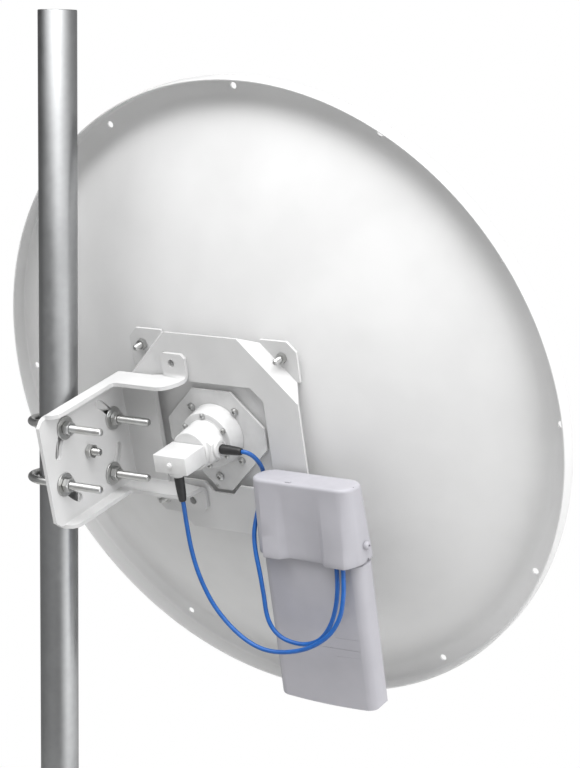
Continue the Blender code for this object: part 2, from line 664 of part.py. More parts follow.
def boot(name, head, length, place, rotation):
    """A tapered rubber boot over the lead's plug."""
    profile = [(0, 0), (0.0049, 0), (0.0050, 0.006), (0.0046, 0.6 * length), (0.0038, length - 0.0015),
               (0.0033, length), (0, length)]
    mesh_object(name, turned(profile, 20), head, "black_rubber", location=place, rotation=rotation)


def ports_boots_and_leads(head):
    """Two ports on the feed, their boots, and the two leads that run back into the radio box."""
    pad_face = DISH_X + PAD_X + PAD_HALF
    sideways, down = (0, pi / 2, 0), (pi, 0, 0)
    side_y, side_z, lower_y = SIDE_LEAD[0][1] / 1000, SIDE_LEAD[0][2] / 1000, LOWER_LEAD[0][1] / 1000
    port("side_port", head, SIDE_PORT_LENGTH, (pad_face + GAP, side_y, side_z), sideways)
    boot_x = SIDE_LEAD[0][0] / 1000 - 2 * GAP - SIDE_BOOT_LENGTH
    boot("side_boot", head, SIDE_BOOT_LENGTH, (boot_x, side_y, side_z), sideways)
    port("lower_port", head, LOWER_PORT_LENGTH, (DISH_X, lower_y, -FEED_BLOCK_HALF_H - GAP), down)
    boot_z = LOWER_LEAD[0][2] / 1000 + GAP + LOWER_BOOT_LENGTH
    boot("lower_boot", head, LOWER_BOOT_LENGTH, (DISH_X, lower_y, boot_z), down)
    tube("side_lead", smooth_route(SIDE_LEAD, LEAD_STEP), LEAD_R, head, "blue_jacket", 2)
    tube("lower_lead", smooth_route(LOWER_LEAD, LEAD_STEP), LEAD_R, head, "blue_jacket", 2)


def front_feed(head):
    """The feed in front of the bowl: a tube on the axis with a covered head near the focus."""
    start = PLATE_Y + PLATE_T + GAP
    tube_end = 0.262
    flange_r = DISH_BORE_R - 0.0005
    profile = [(0, PLATE_Y + GAP), (DISH_BORE_R - GAP, PLATE_Y + GAP), (flange_r, start + 0.010),
               (FEED_TUBE_R, start + 0.012), (FEED_TUBE_R, tube_end), (0, tube_end)]
    mesh_object("feed_tube", along_y(turned(profile, 32)), head, "white_casting", location=(DISH_X, 0, 0))
    low = tube_end + GAP
    cover = [(0, low), (0.0215, low), (0.0215, low + 0.012), (0.0360, low + 0.034), (0.0375, low + 0.040),
             (0.0375, FEED_TIP_Y - 0.004), (0.0340, FEED_TIP_Y), (0, FEED_TIP_Y)]
    mesh_object("feed_cover", along_y(turned(cover, 36)), head, "white_radome", location=(DISH_X, 0, 0))


def box_place():
    """Where the radio box hangs, and its lean."""
    return {"location": (BOX_X, 0, BOX_HANG_Z), "rotation": (BOX_LEAN, 0, 0)}


def box_ring(half_w, height, steps=5):
    """Plan outline of the radio box at one height, with round sides."""
    back_r, front_r = 0.012, 0.010
    points = arc_points((half_w - back_r, BOX_BACK_Y + back_r), back_r, -pi / 2, 0, steps)
    points += arc_points((half_w - front_r, BOX_FRONT_Y - front_r), front_r, 0, pi / 2, steps)
    points += [(-x, y) for x, y in reversed(points)]
    return [(x, y, height) for x, y in points]


def slab(x_low, x_high, y_low, y_high, z_low, z_high):
    """A plain rectangular block."""
    outline = [(x_low, y_low), (x_high, y_low), (x_high, y_high), (x_low, y_high)]
    return moved(prism(outline, z_high - z_low), 0, 0, z_low)


def box_end_outline():
    """The case seen square on: a lower end that sags a little, with small round corners."""
    half, radius = BOX_HALF_W, BOX_END_R
    inner = half - radius
    arch_r = (inner ** 2 + BOX_SAG ** 2) / (2 * BOX_SAG)
    swing = atan2(inner, arch_r - BOX_SAG)
    corner_z = BOX_LOW + BOX_SAG + radius
    arch = arc_points((0, BOX_LOW + arch_r), arch_r, -pi / 2 - swing, -pi / 2 + swing, 12)
    left = arc_points((-inner, corner_z), radius, pi, 3 * pi / 2, 4)[:-1]
    right = arc_points((inner, corner_z), radius, -pi / 2, 0, 4)[1:]
    margin = 0.001
    sides = [(half + margin, corner_z), (half + margin, BOX_TOP + margin), (-half - margin, BOX_TOP + margin),
             (-half - margin, corner_z)]
    return left + arch + right[:-1] + sides


def radio_body(head):
    """The radio's case: a flat box with round sides and a neck that goes up into the cap."""
    rings = [(BOX_HALF_W, BOX_LOW - 0.001), (BOX_HALF_W, BOX_NECK - 0.001), (BOX_NECK_HALF_W, BOX_NECK),
             (BOX_NECK_HALF_W, BOX_TOP)]
    case = lofted([box_ring(half, z) for half, z in rings])
    body = mesh_object("radio_body", case, head, "grey_plastic", **box_place())
    stencil = along_y(prism([(x, -z) for x, z in box_end_outline()], 0.060))
    end_guide = mesh_object("body_end_guide", moved(stencil, 0, 0.015, 0), head, smooth=False, **box_place())
    boolean(body, end_guide, "INTERSECT")
    inlets = slab(0.028, 0.046, BOX_BACK_Y - 0.0045, BOX_BACK_Y + 0.003, -0.0205, 0.002)
    boolean(body, mesh_object("inlet_guide", inlets, head, smooth=False, **box_place()), "UNION")
    pad = slab(-0.022, 0.022, BOX_FRONT_Y - 0.003, 0.067, -0.130, -0.060)
    boolean(body, mesh_object("pad_back_guide", pad, head, smooth=False, **box_place()), "UNION")


def channel_rise(x, inset):
    """How far a channel stands out at X, from none to whole."""
    for a, b, c, d in CHANNELS:
        b, c = b + inset, c - inset
        if a < x < d:
            return min(1.0, (x - a) / (b - a), (d - x) / (d - c))
    return 0.0


def cap_ring(half, inset, deep, height):
    """Plan outline of the cap at one height, drawn in by an inset, with its two channels raised."""
    share = (CAP_HALF_LOW - half) / (CAP_HALF_LOW - CAP_HALF_TOP)
    half, low, high = half - inset, CAP_BACK_Y + inset, CAP_FRONT_Y - inset
    back_r = CAP_BACK_R + CAP_ROUNDER[0] * share - inset
    front_r = CAP_FRONT_R + CAP_ROUNDER[1] * share - inset
    bend = half - back_r
    stations = [side * (bend + back_r * sin(pi / 2 * k / 5)) for side in (1, -1) for k in range(6)]
    stations += [x for a, b, c, d in CHANNELS for x in (a, b + inset, c - inset, d)]
    ring = []
    for x in sorted(stations):
        out = min(back_r, max(0.0, abs(x) - bend))
        ring.append((x, low + back_r - sqrt(back_r ** 2 - out ** 2) - deep * channel_rise(x, inset)))
    front = arc_points((half - front_r, high - front_r), front_r, 0, pi / 2, 4)
    ring += front + [(-x, y) for x, y in reversed(front)]
    slope = CAP_TOP_DROP / (CAP_FRONT_Y - CAP_BACK_Y) if height > 0 else 0.0
    return [(x, y, height - slope * (y - CAP_BACK_Y)) for x, y in ring]


def radio_cap(head):
    """The cover over the box's upper end: a shell open below, whose channels let the leads in."""
    flat = CAP_TOP - 0.007
    outside = [cap_ring(CAP_HALF_LOW, 0, CHANNEL_DEPTH, CAP_LOW), cap_ring(CAP_HALF_TOP, 0, 0, flat),
               cap_ring(CAP_HALF_TOP, 0, 0, CAP_TOP - 0.0035),
               cap_ring(CAP_HALF_TOP, 0.001, 0, CAP_TOP - 0.001), cap_ring(CAP_HALF_TOP, 0.0035, 0, CAP_TOP)]
    cap = mesh_object("radio_cap", lofted(outside), head, "grey_plastic", **box_place())
    under = 0.004
    deeper = CHANNEL_DEPTH * (1 + under / (flat - CAP_LOW))
    inside = [cap_ring(CAP_HALF_LOW, CAP_WALL, deeper, CAP_LOW - under),
              cap_ring(CAP_HALF_TOP, CAP_WALL, 0, flat),
              cap_ring(CAP_HALF_TOP, CAP_WALL + 0.0005, 0, CAP_TOP - 0.003)]
    boolean(cap, mesh_object("cap_hollow", lofted(inside), head, **box_place()))


def cap_screw(head):
    """The round-headed screw in the cap's right side."""
    profile = [(0, 0), (0.0042, 0), (0.0042, 0.0032), (0.0030, 0.0044), (0, 0.0044)]
    mesh_object("cap_screw", turned(profile, 16), head, "grey_plastic", rotation=(0, pi / 2, 0),
                location=(BOX_X + CAP_HALF_LOW, CAP_SCREW_Y, -0.085))


def radio_hanger(head):
    """The flat plate between the frame and the radio box, hidden behind both in use."""
    y = FRAME_Y - GAP - 0.0033
    outline = [(0.222, -0.080), (0.232, -0.090), (0.245, -0.100), (0.248, -0.195), (0.298, -0.195),
               (0.298, -0.050), (0.288, -0.040), (0.222, -0.040)]
    plate = prism([(x, -z) for x, z in outline], 0.0033)
    mesh_object("radio_hanger", along_y(plate), head, "white_paint", smooth=False, location=(0, y, 0))


def build():
    clear_scene()
    root = empty("mast")
    clamp = empty("clamp", location=(0, 0, PIVOT_HEIGHT))
    head = empty("head", location=(0, 0, PIVOT_HEIGHT), rotation=(TILT, 0, 0))
    mast_tube(root)
    u_bolt("u_bolt_upper", LEG_RISE, clamp)
    u_bolt("u_bolt_lower", -LEG_RISE, clamp)
    saddle_block(clamp)
    washers_and_nuts(clamp)
    pivot_bolt(clamp)
    mount_bracket(head)
    mount_frame(head)
    dish_bowl(head)
    dish_rim(head)
    corner_bolts(head)
    feed_plate(head)
    feed_drum(head)
    feed_body(head)
    feed_block(head)
    ports_boots_and_leads(head)
    front_feed(head)
    radio_body(head)
    radio_cap(head)
    cap_screw(head)
    radio_hanger(head)


build()
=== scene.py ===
"""Looks of the parabolic dish antenna: fine surfaces, finishes, leads, studio and camera.

Pieces on the head are written in the head's own axes, as the solids are: X right seen from behind,
Y along the boresight, Z square to both, from the point where pivot and mast axes cross. The clamp's
pieces use the same point without the tilt, and the mast's are written from its foot.
"""
import json
from math import atan2, cos, pi, radians, sin, sqrt, tan

import bmesh
import bpy
from mathutils import Matrix, Vector


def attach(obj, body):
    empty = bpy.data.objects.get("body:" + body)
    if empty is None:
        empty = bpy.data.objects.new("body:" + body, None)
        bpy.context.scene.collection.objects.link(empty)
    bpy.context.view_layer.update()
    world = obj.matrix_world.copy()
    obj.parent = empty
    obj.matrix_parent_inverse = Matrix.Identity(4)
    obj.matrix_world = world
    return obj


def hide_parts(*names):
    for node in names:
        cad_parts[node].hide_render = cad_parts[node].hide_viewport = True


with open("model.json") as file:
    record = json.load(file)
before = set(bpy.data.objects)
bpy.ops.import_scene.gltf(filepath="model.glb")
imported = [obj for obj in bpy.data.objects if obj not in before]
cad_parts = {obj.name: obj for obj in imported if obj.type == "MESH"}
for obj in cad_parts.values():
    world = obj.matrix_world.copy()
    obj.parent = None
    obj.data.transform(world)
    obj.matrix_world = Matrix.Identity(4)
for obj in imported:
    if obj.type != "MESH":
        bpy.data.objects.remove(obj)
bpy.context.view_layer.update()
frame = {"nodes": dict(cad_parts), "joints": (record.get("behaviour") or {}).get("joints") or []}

# The head's axes in the model: the tilt joint's point, and the tilt at rest
PIVOT = Vector(next(j["pos_m"] for j in frame["joints"] if j["name"] == "elevation"))
TILT = radians(15.0)
FOOT = HERE = Matrix.Identity(4)
CLAMP = Matrix.Translation(PIVOT)
HEAD = CLAMP @ Matrix.Rotation(TILT, 4, "X")
TO_X = Matrix.Rotation(pi / 2, 4, "Y")
TO_Y = Matrix.Rotation(-pi / 2, 4, "X")
DOWN = Matrix.Rotation(pi, 4, "X")
GAP = 0.0003
WELD = 1e-6

# Mast and clamp, metres
MAST_R, MAST_WALL, MAST_HEIGHT, FOOT_THICK = 0.0195, 0.003, 1.500, 0.005
ROD_R, LEG_SPREAD, LEG_RISE, STRAIGHT_X, THREAD_X, LEG_END_X = 0.004, 0.0382, 0.0285, 0.030, 0.0425, 0.086
THREAD_PITCH, THREAD_DEPTH = 0.00125, 0.00055
WEB_SHEET, SADDLE_PLATE = 0.004, 0.006
WEB_FACE, WASHER_R, WASHER_T, NUT_AF, NUT_T = 0.0395, 0.012, 0.0016, 0.013, 0.0066
HEAD_T, PIVOT_NUT_T, SHANK_END = 0.005, 0.0058, 0.0544

# Reflector, metres
DISH_X, FLANGE_Y, RIM_R, BOWL_R, BOWL_DEPTH, SHEET = 0.146, 0.186, 0.340, 0.317, 0.109, 0.002
BORE_R, LIP_BACK, HOLE_CIRCLE_R, RIM_HOLE_R, RIM_HOLES = 0.0205, 0.0182, 0.3283, 0.0036, 12
CREASE_R, FLAT_FROM_R, LIP_BEND_R, BOLT_HOLE_R = 0.3105, 0.3230, 0.0025, 0.0033
DISH = HEAD @ Matrix.Translation((DISH_X, 0, 0))

# The bolts that hold the frame off the bowl, metres
BOLT_OFFSET, EAR_Y, EAR_SHEET, STUD_R, SHOULDER_R = 0.0854, 0.086, 0.003, 0.003, 0.006
FRAME_NUT_AF, FRAME_NUT_T = 0.010, 0.0052

# Feed, metres
PLATE_Y, PLATE_T, DRUM_Y, BODY_Y, BLOCK_Y = 0.074, 0.0027, 0.055, 0.027, -0.007
FEED_TUBE_R, TUBE_END, FEED_TIP_Y = 0.0190, 0.262, 0.322
BLOCK_HALF_W, BLOCK_HALF_H, PORT_X, PORT_RIM_T = 0.0193, 0.0093, 0.0245, 0.0032
DRUM_SCREW_CIRCLE_R, PLATE_SCREW_CIRCLE_R = 0.0269, 0.0377

# Radio box, metres, from its own hang point and leaning a little
BOX_X, BOX_Z, BOX_LEAN = 0.267, -0.060, radians(-1.2)
BOX = HEAD @ Matrix.Translation((BOX_X, 0, BOX_Z)) @ Matrix.Rotation(BOX_LEAN, 4, "X")
BOX_HALF_W, BOX_NECK_HALF_W, BOX_BACK_Y, BOX_FRONT_Y = 0.0583, 0.0550, 0.034, 0.062
BOX_TOP, BOX_NECK, BOX_LOW, BOX_SAG, BOX_END_R = 0.006, -0.0425, -0.202, 0.0022, 0.004
BOX_BACK_R, BOX_FRONT_R = 0.012, 0.010
CAP_HALF_LOW, CAP_HALF_TOP, CAP_BACK_Y, CAP_FRONT_Y = 0.0593, 0.0577, 0.028, 0.0645
CAP_BACK_R, CAP_FRONT_R, CAP_ROUNDER, CAP_EDGE_R = 0.012, 0.010, (0.0028, 0.006), 0.0038
CAP_TOP, CAP_TOP_DROP, CAP_LOW, CAP_WALL, CHANNEL_DEPTH = 0.040, 0.0037, -0.041, 0.002, 0.0068
CAP_SCREW_Y, CAP_SCREW_Z = 0.0465, -0.085
# Where each channel of the cap starts, is whole, starts to end and has ended
CHANNELS = [(-0.0490, -0.0450, -0.0276, -0.0182), (0.0195, 0.0264, 0.0484, 0.0566)]
# Small notches in the cap's lower edge: across and front to back
NOTCHES = [(0.0588, 0.0480), (0.0520, 0.0303)]
# Fine mould lines in the case: middle across, height, length, slope in degrees and depth
MOULD_LINES = [(0.0337, -0.1235, 0.028, 2.5, 0.00022), (0.0222, -0.1359, 0.0500, 1.5, 0.0003),
               (0.0345, -0.1436, 0.032, 4.0, 0.00015)]
MOULD_LINE_HALF_W = 0.00022

# Leads, routes as in the solids' source, millimetres in the head's axes
MM = 0.001
LEAD_DIAMETER = 0.0045
SIDE_BOOT, LOWER_BOOT, SIDE_PORT, LOWER_PORT = 0.0243, 0.0268, 0.0032, 0.0064
SIDE_ROUTE = [(199.2, 41.5, 0.3), (202.0, 41.5, 0.3), (205.4, 42.1, -0.6), (208.3, 44.9, -4.2),
              (209.6, 49.4, -10.6), (208.9, 55.0, -18.4), (207.0, 60.0, -26.6), (205.2, 61.6, -37.6),
              (204.0, 58.0, -49.6), (203.6, 50.6, -60.6), (203.7, 42.2, -71.2), (204.8, 33.6, -84.4),
              (209.4, 25.6, -99.6), (215.6, 19.0, -118.5), (219.6, 14.6, -139.9), (221.6, 12.0, -158.2),
              (225.2, 11.0, -170.4), (232.6, 10.5, -179.6), (244.0, 11.0, -185.4), (262.0, 12.5, -186.8),
              (278.9, 15.0, -180.1), (291.4, 18.0, -164.7), (298.7, 21.5, -145.2), (301.6, 25.2, -124.8),
              (302.1, 27.4, -106.0), (302.2, 28.9, -94.0), (302.2, 30.2, -82.0)]
LOWER_ROUTE = [(146.0, 4.0, -43.4), (146.1, 4.0, -50.0), (146.6, 3.2, -69.1), (149.6, 0.6, -94.7),
               (155.9, -1.8, -119.9), (167.6, -3.8, -146.0), (184.1, -5.4, -166.3), (203.8, -6.0, -181.7),
               (224.0, -5.2, -189.8), (244.3, -2.8, -190.8), (264.9, 0.6, -186.7), (282.6, 4.4, -178.8),
               (297.4, 9.0, -166.8), (307.6, 14.2, -149.6), (310.8, 20.0, -130.0), (310.3, 25.2, -112.0),
               (309.7, 27.6, -102.0), (308.9, 28.9, -94.0), (308.6, 30.2, -82.0)]

# Camera, from the photograph's rim circle, rim holes and mast
CAMERA_PLACE = (1.364, -1.624, 1.443)
CAMERA_RIGHT = (0.8309, 0.5563, 0.0128)
CAMERA_UP = (-0.0922, 0.1149, 0.9891)
FOCAL_PIXELS = 2108
PHOTO_HEIGHT = 768

# Studio floor, metres, and the surround: its brightest level, and the share of it at eight bearings from
# -180 degrees on in steps of 45, for four heights above the horizon in degrees. The shares began as a least
# squares fit of lights from each direction to the photograph's shading, rounded, and some were changed after
# that.
FLOOR_R, FLOOR_TOP, FLOOR_LOW = 1.7, -0.0005, -0.010
PEAK = 10.2
SURROUND = [(0, (0.030, 0.040, 0.050, 0.032, 0.235, 0.150, 0.080, 0.020)),
            (30, (0.0, 0.04, 0.02, 0.16, 0.150, 0.06, 0.0, 0.0)),
            (60, (0.04, 0.57, 0.84, 0.83, 0.26, 0.0, 0.0, 0.0)),
            (90, (0.1, 0.1, 0.1, 0.1, 0.1, 0.1, 0.1, 0.1))]


def srgb(code):
    """A hex colour as linear RGBA."""
    parts = [int(code[i:i + 2], 16) / 255 for i in (1, 3, 5)]
    return (*[c / 12.92 if c <= 0.04045 else ((c + 0.055) / 1.055) ** 2.4 for c in parts], 1.0)


def add_node(tree, kind, settings=None, sockets=None, links=None):
    """Add one node with its settings, socket values and links from other nodes' outputs."""
    made = tree.nodes.new(kind)
    for key, value in (settings or {}).items():
        setattr(made, key, value)
    for key, value in (sockets or {}).items():
        made.inputs[key].default_value = value
    for key, source in (links or {}).items():
        tree.links.new(source, made.inputs[key])
    return made


def surface(name, colour, tones, gloss, cloud_mm, gloss_mm, grain_mm, depth, strength, metallic=0.0):
    """A finish whose colour drifts between two tones and its roughness between two values, finely grained."""
    mat = bpy.data.materials.new(name)
    mat.use_nodes = True
    mat.diffuse_color = srgb(colour)
    tree = mat.node_tree
    shader = tree.nodes["Principled BSDF"]
    shader.inputs["Base Color"].default_value = srgb(colour)
    shader.inputs["Roughness"].default_value = sum(gloss) / 2
    shader.inputs["Metallic"].default_value = metallic
    place = add_node(tree, "ShaderNodeTexCoord")
    here = {"Vector": place.outputs["Object"]}
    cloud = add_node(tree, "ShaderNodeTexNoise", None, {"Scale": 1000 / cloud_mm, "Detail": 3.0}, here)
    ramp = add_node(tree, "ShaderNodeValToRGB", None, None, {"Fac": cloud.outputs["Fac"]})
    for stop, position, tone in zip(ramp.color_ramp.elements, (0.35, 0.65), tones):
        stop.position, stop.color = position, srgb(tone)
    patch = add_node(tree, "ShaderNodeTexNoise", None, {"Scale": 1000 / gloss_mm, "Detail": 2.0}, here)
    spread = add_node(tree, "ShaderNodeMapRange", None,
                      {"From Min": 0.3, "From Max": 0.7, "To Min": gloss[0], "To Max": gloss[1]},
                      {"Value": patch.outputs["Fac"]})
    grain = add_node(tree, "ShaderNodeTexNoise", None, {"Scale": 1000 / grain_mm, "Detail": 2.0}, here)
    bump = add_node(tree, "ShaderNodeBump", None, {"Strength": strength, "Distance": depth},
                    {"Height": grain.outputs["Fac"]})
    tree.links.new(ramp.outputs["Color"], shader.inputs["Base Color"])
    tree.links.new(spread.outputs["Result"], shader.inputs["Roughness"])
    tree.links.new(bump.outputs["Normal"], shader.inputs["Normal"])
    return mat, {"tree": tree, "place": place, "cloud": cloud, "ramp": ramp, "grain": grain, "bump": bump}


def galvanised_tube():
    # Hot-dip galvanised steel tube: mid grey with broad soft highlights, cloudy in patches, with faint drawing
    # lines up the tube and crystals of about 7 mm that show only as slight changes of tone
    mat, n = surface("galvanised_tube", "#989999", ("#959697", "#9C9D9E"), (0.30, 0.36), cloud_mm=45,
                     gloss_mm=12, grain_mm=2.2, depth=0.00001, strength=0.2, metallic=1.0)
    crystals = add_node(n["tree"], "ShaderNodeTexVoronoi", None, {"Scale": 1000 / 7},
                        {"Vector": n["place"].outputs["Object"]})
    mixed = add_node(n["tree"], "ShaderNodeMix", {"data_type": "FLOAT"}, {"Factor": 0.2},
                     {"A": n["cloud"].outputs["Fac"], "B": crystals.outputs["Distance"]})
    n["tree"].links.new(mixed.outputs["Result"], n["ramp"].inputs["Fac"])
    stretch = add_node(n["tree"], "ShaderNodeMapping", None, {"Scale": (1.0, 1.0, 0.04)},
                       {"Vector": n["place"].outputs["Object"]})
    n["tree"].links.new(stretch.outputs["Vector"], n["grain"].inputs["Vector"])
    return mat


def zinc_plate():
    # Zinc plated steel, passivated: light grey and satin, its tone drifting very slightly from warm to cool
    return surface("zinc_plate", "#BCBCBA", ("#B6B6B4", "#C1C2C2"), (0.28, 0.36), cloud_mm=14, gloss_mm=5,
                   grain_mm=0.8, depth=0.00001, strength=0.2, metallic=1.0)[0]


def white_coat():
    # White polyester powder coat on steel sheet: satin, with orange peel of about 1.2 mm, drawn at 2 mm so
    # that it shows, and slightly greyer in broad patches
    return surface("white_coat", "#C9C9C9", ("#C6C6C6", "#CCCCCC"), (0.36, 0.48), cloud_mm=60, gloss_mm=14,
                   grain_mm=2.0, depth=0.00005, strength=0.35)[0]


def dish_coat():
    # Light grey powder coat on spun aluminium: semi-gloss, with faint rings about 5 mm apart left by the
    # spinning roller round the dish's axis, under fine orange peel
    ring_spacing, ring_share = 0.005, 0.10
    mat, n = surface("dish_coat", "#D4D4D4", ("#D1D1D1", "#D7D7D7"), (0.34, 0.43), cloud_mm=90, gloss_mm=25,
                     grain_mm=2.5, depth=0.00004, strength=0.35)
    tree = n["tree"]
    centred = add_node(tree, "ShaderNodeMapping", {"vector_type": "TEXTURE"},
                       {"Location": HEAD @ Vector((DISH_X, 0, 0)), "Rotation": (TILT, 0, 0)},
                       {"Vector": n["place"].outputs["Object"]})
    flat = add_node(tree, "ShaderNodeVectorMath", {"operation": "MULTIPLY"}, {1: (1, 0, 1)},
                    {0: centred.outputs["Vector"]})
    radius = add_node(tree, "ShaderNodeVectorMath", {"operation": "LENGTH"}, None, {0: flat.outputs["Vector"]})
    turns = add_node(tree, "ShaderNodeMath", {"operation": "MULTIPLY"}, {1: 2 * pi / ring_spacing},
                     {0: radius.outputs["Value"]})
    rings = add_node(tree, "ShaderNodeMath", {"operation": "SINE"}, None, {0: turns.outputs["Value"]})
    both = add_node(tree, "ShaderNodeMath", {"operation": "MULTIPLY_ADD"}, {1: ring_share},
                    {0: rings.outputs["Value"], 2: n["grain"].outputs["Fac"]})
    tree.links.new(both.outputs["Value"], n["bump"].inputs["Height"])
    return mat


def white_casting():
    # White paint on a die casting: smooth and bright, slightly lumpy where the casting's skin shows through
    return surface("white_casting", "#CBCBCB", ("#C7C7C7", "#CFCFCF"), (0.30, 0.42), cloud_mm=16, gloss_mm=6,
                   grain_mm=1.6, depth=0.00005, strength=0.35)[0]


def grey_plastic():
    # Moulded weatherproof plastic in a light lilac grey: matt, with the even grain of an eroded mould, about
    # 0.5 mm, drawn at 1 mm so that it shows
    return surface("grey_plastic", "#A5A4AA", ("#A2A1A7", "#A8A7AD"), (0.45, 0.56), cloud_mm=50, gloss_mm=7,
                   grain_mm=1.0, depth=0.00004, strength=0.45)[0]


def black_rubber():
    # Moulded black rubber: deep grey rather than black in the light, with a soft sheen and a fine pebbled skin
    return surface("moulded_rubber", "#1D1D1E", ("#19191A", "#232324"), (0.40, 0.55), cloud_mm=5, gloss_mm=2.5,
                   grain_mm=0.7, depth=0.00003, strength=0.5)[0]


def blue_pvc():
    # Extruded blue PVC jacket: even strong blue with a soft highlight along its length and faint rub marks
    return surface("blue_pvc", "#10529A", ("#0E4D93", "#1357A1"), (0.30, 0.44), cloud_mm=8, gloss_mm=3,
                   grain_mm=1.5, depth=0.00002, strength=0.3)[0]


def radome_plastic():
    # Moulded radome plastic: warm off-white and matt, slightly uneven as thick mouldings are
    return surface("radome_moulding", "#E7E6E1", ("#E3E2DC", "#EAE9E4"), (0.45, 0.56), cloud_mm=22, gloss_mm=8,
                   grain_mm=1.4, depth=0.00004, strength=0.35)[0]


def lathe(profile, sides=64):
    """Turn a closed (radius, height) outline about Z; points at radius 0 close into poles."""
    bm = bmesh.new()
    rings = []
    for r, h in profile:
        around = [2 * pi * k / sides for k in range(sides)] if r > 1e-7 else [0.0]
        rings.append([bm.verts.new((r * cos(a), r * sin(a), h)) for a in around])
    for low, high in zip(rings, rings[1:] + rings[:1]):
        for k in range(sides):
            after = (k + 1) % sides
            corners = [low[k % len(low)], low[after % len(low)], high[after % len(high)], high[k % len(high)]]
            corners = [v for i, v in enumerate(corners) if v not in corners[:i]]
            if len(corners) > 2:
                bm.faces.new(corners)
    return bm


def loft(rings, closed=False):
    """Skin a stack of equally long rings; closed joins the last to the first, or else both ends are capped."""
    bm = bmesh.new()
    loops = [[bm.verts.new(point) for point in ring] for ring in rings]
    pairs = list(zip(loops, loops[1:])) + ([(loops[-1], loops[0])] if closed else [])
    for low, high in pairs:
        for i in range(len(low)):
            j = (i + 1) % len(low)
            bm.faces.new((low[i], low[j], high[j], high[i]))
    if not closed:
        bm.faces.new(loops[0][::-1])
        bm.faces.new(loops[-1])
    return bm


def slab(x_low, x_high, y_low, y_high, z_low, z_high):
    """A plain rectangular block."""
    corners = [(x_low, y_low), (x_high, y_low), (x_high, y_high), (x_low, y_high)]
    return loft([[(x, y, z) for x, y in corners] for z in (z_low, z_high)])


def plug(radius, low, high, sides):
    """A plain round cylinder along Z."""
    return lathe([(0, low), (radius, low), (radius, high), (0, high)], sides)


def arc(centre, radius, start, end, steps):
    """Points on an arc in a plane, both ends included."""
    return [(centre[0] + radius * cos(start + (end - start) * i / steps),
             centre[1] + radius * sin(start + (end - start) * i / steps)) for i in range(steps + 1)]


def turned(degrees):
    """A turn about Z."""
    return Matrix.Rotation(radians(degrees), 4, "Z")


def on_circle(radius, angles, height):
    """Points on a circle at a height, at angles in degrees."""
    return [(radius * cos(radians(a)), radius * sin(radians(a)), height) for a in angles]


def gathered(parts):
    """Several bmeshes, each with its place, in one."""
    whole = bmesh.new()
    for bm, place in parts:
        bmesh.ops.recalc_face_normals(bm, faces=bm.faces)
        bmesh.ops.transform(bm, matrix=place, verts=bm.verts)
        mesh = bpy.data.meshes.new("gathered")
        bm.to_mesh(mesh)
        bm.free()
        whole.from_mesh(mesh)
        bpy.data.meshes.remove(mesh)
    return whole


def new_object(name, data):
    """An object for a mesh, curve or camera, linked to the scene."""
    obj = bpy.data.objects.new(name, data)
    bpy.context.scene.collection.objects.link(obj)
    return obj


def flatten(obj):
    """Turn an object with its modifiers into a plain mesh."""
    bpy.context.view_layer.update()
    made = bpy.data.meshes.new_from_object(obj.evaluated_get(bpy.context.evaluated_depsgraph_get()))
    if obj.type == "MESH":
        obj.modifiers.clear()
        obj.data = made
        return obj
    name = obj.name
    bpy.data.objects.remove(obj)
    return new_object(name, made)


def plain_object(name, bm):
    """A mesh object from a bmesh, which is used up."""
    mesh = bpy.data.meshes.new(name)
    bm.to_mesh(mesh)
    bm.free()
    return new_object(name, mesh)


def loose(obj):
    """An object's mesh as a bmesh, with the object taken away."""
    bm = bmesh.new()
    bm.from_mesh(obj.data)
    bpy.data.objects.remove(obj)
    return bm


def cut(obj, tool, operation="DIFFERENCE"):
    """Cut, join or trim an object by a bmesh; its bent faces are split first, so that the result is closed."""
    bmesh.ops.recalc_face_normals(tool, faces=tool.faces)
    bmesh.ops.connect_verts_nonplanar(tool, angle_limit=radians(0.01), faces=tool.faces)
    cutter = plain_object("tool", tool)
    mod = obj.modifiers.new("cut", "BOOLEAN")
    mod.operation, mod.object, mod.solver = operation, cutter, "EXACT"
    flatten(obj)
    bpy.data.objects.remove(cutter)


def soften(obj, width, angle=35, segments=2):
    """Round the hard edges, as folding, casting and coating leave them."""
    edge = obj.modifiers.new("edge", "BEVEL")
    edge.width, edge.segments, edge.use_clamp_overlap = width, segments, True
    edge.limit_method, edge.angle_limit = "ANGLE", radians(angle)
    return flatten(obj)


def settle(obj, finish, place, body, nodes=(), angle=35, weighted=False):
    """Give a piece its finish and place, shade it, and let it ride on its body."""
    obj.data.transform(place)
    obj.data.materials.clear()
    obj.data.materials.append(finish)
    obj.data.shade_smooth()
    obj.data.set_sharp_from_angle(angle=radians(angle))
    if weighted:
        even = obj.modifiers.new("even", "WEIGHTED_NORMAL")
        even.keep_sharp = True
        flatten(obj)
    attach(obj, body)
    if nodes:
        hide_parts(*nodes)
    return obj


def dressed(node, name, finish, body, width, angle=35):
    """A copy of a solid with its flat faces whole again and its edges rounded."""
    bm = bmesh.new()
    bm.from_mesh(frame["nodes"][node].data)
    bmesh.ops.remove_doubles(bm, verts=bm.verts, dist=2e-6)
    bmesh.ops.dissolve_limit(bm, angle_limit=radians(0.6), verts=bm.verts, edges=bm.edges)
    obj = soften(plain_object(name, bm), width)
    return settle(obj, finish, FOOT, body, [node], angle, weighted=True)


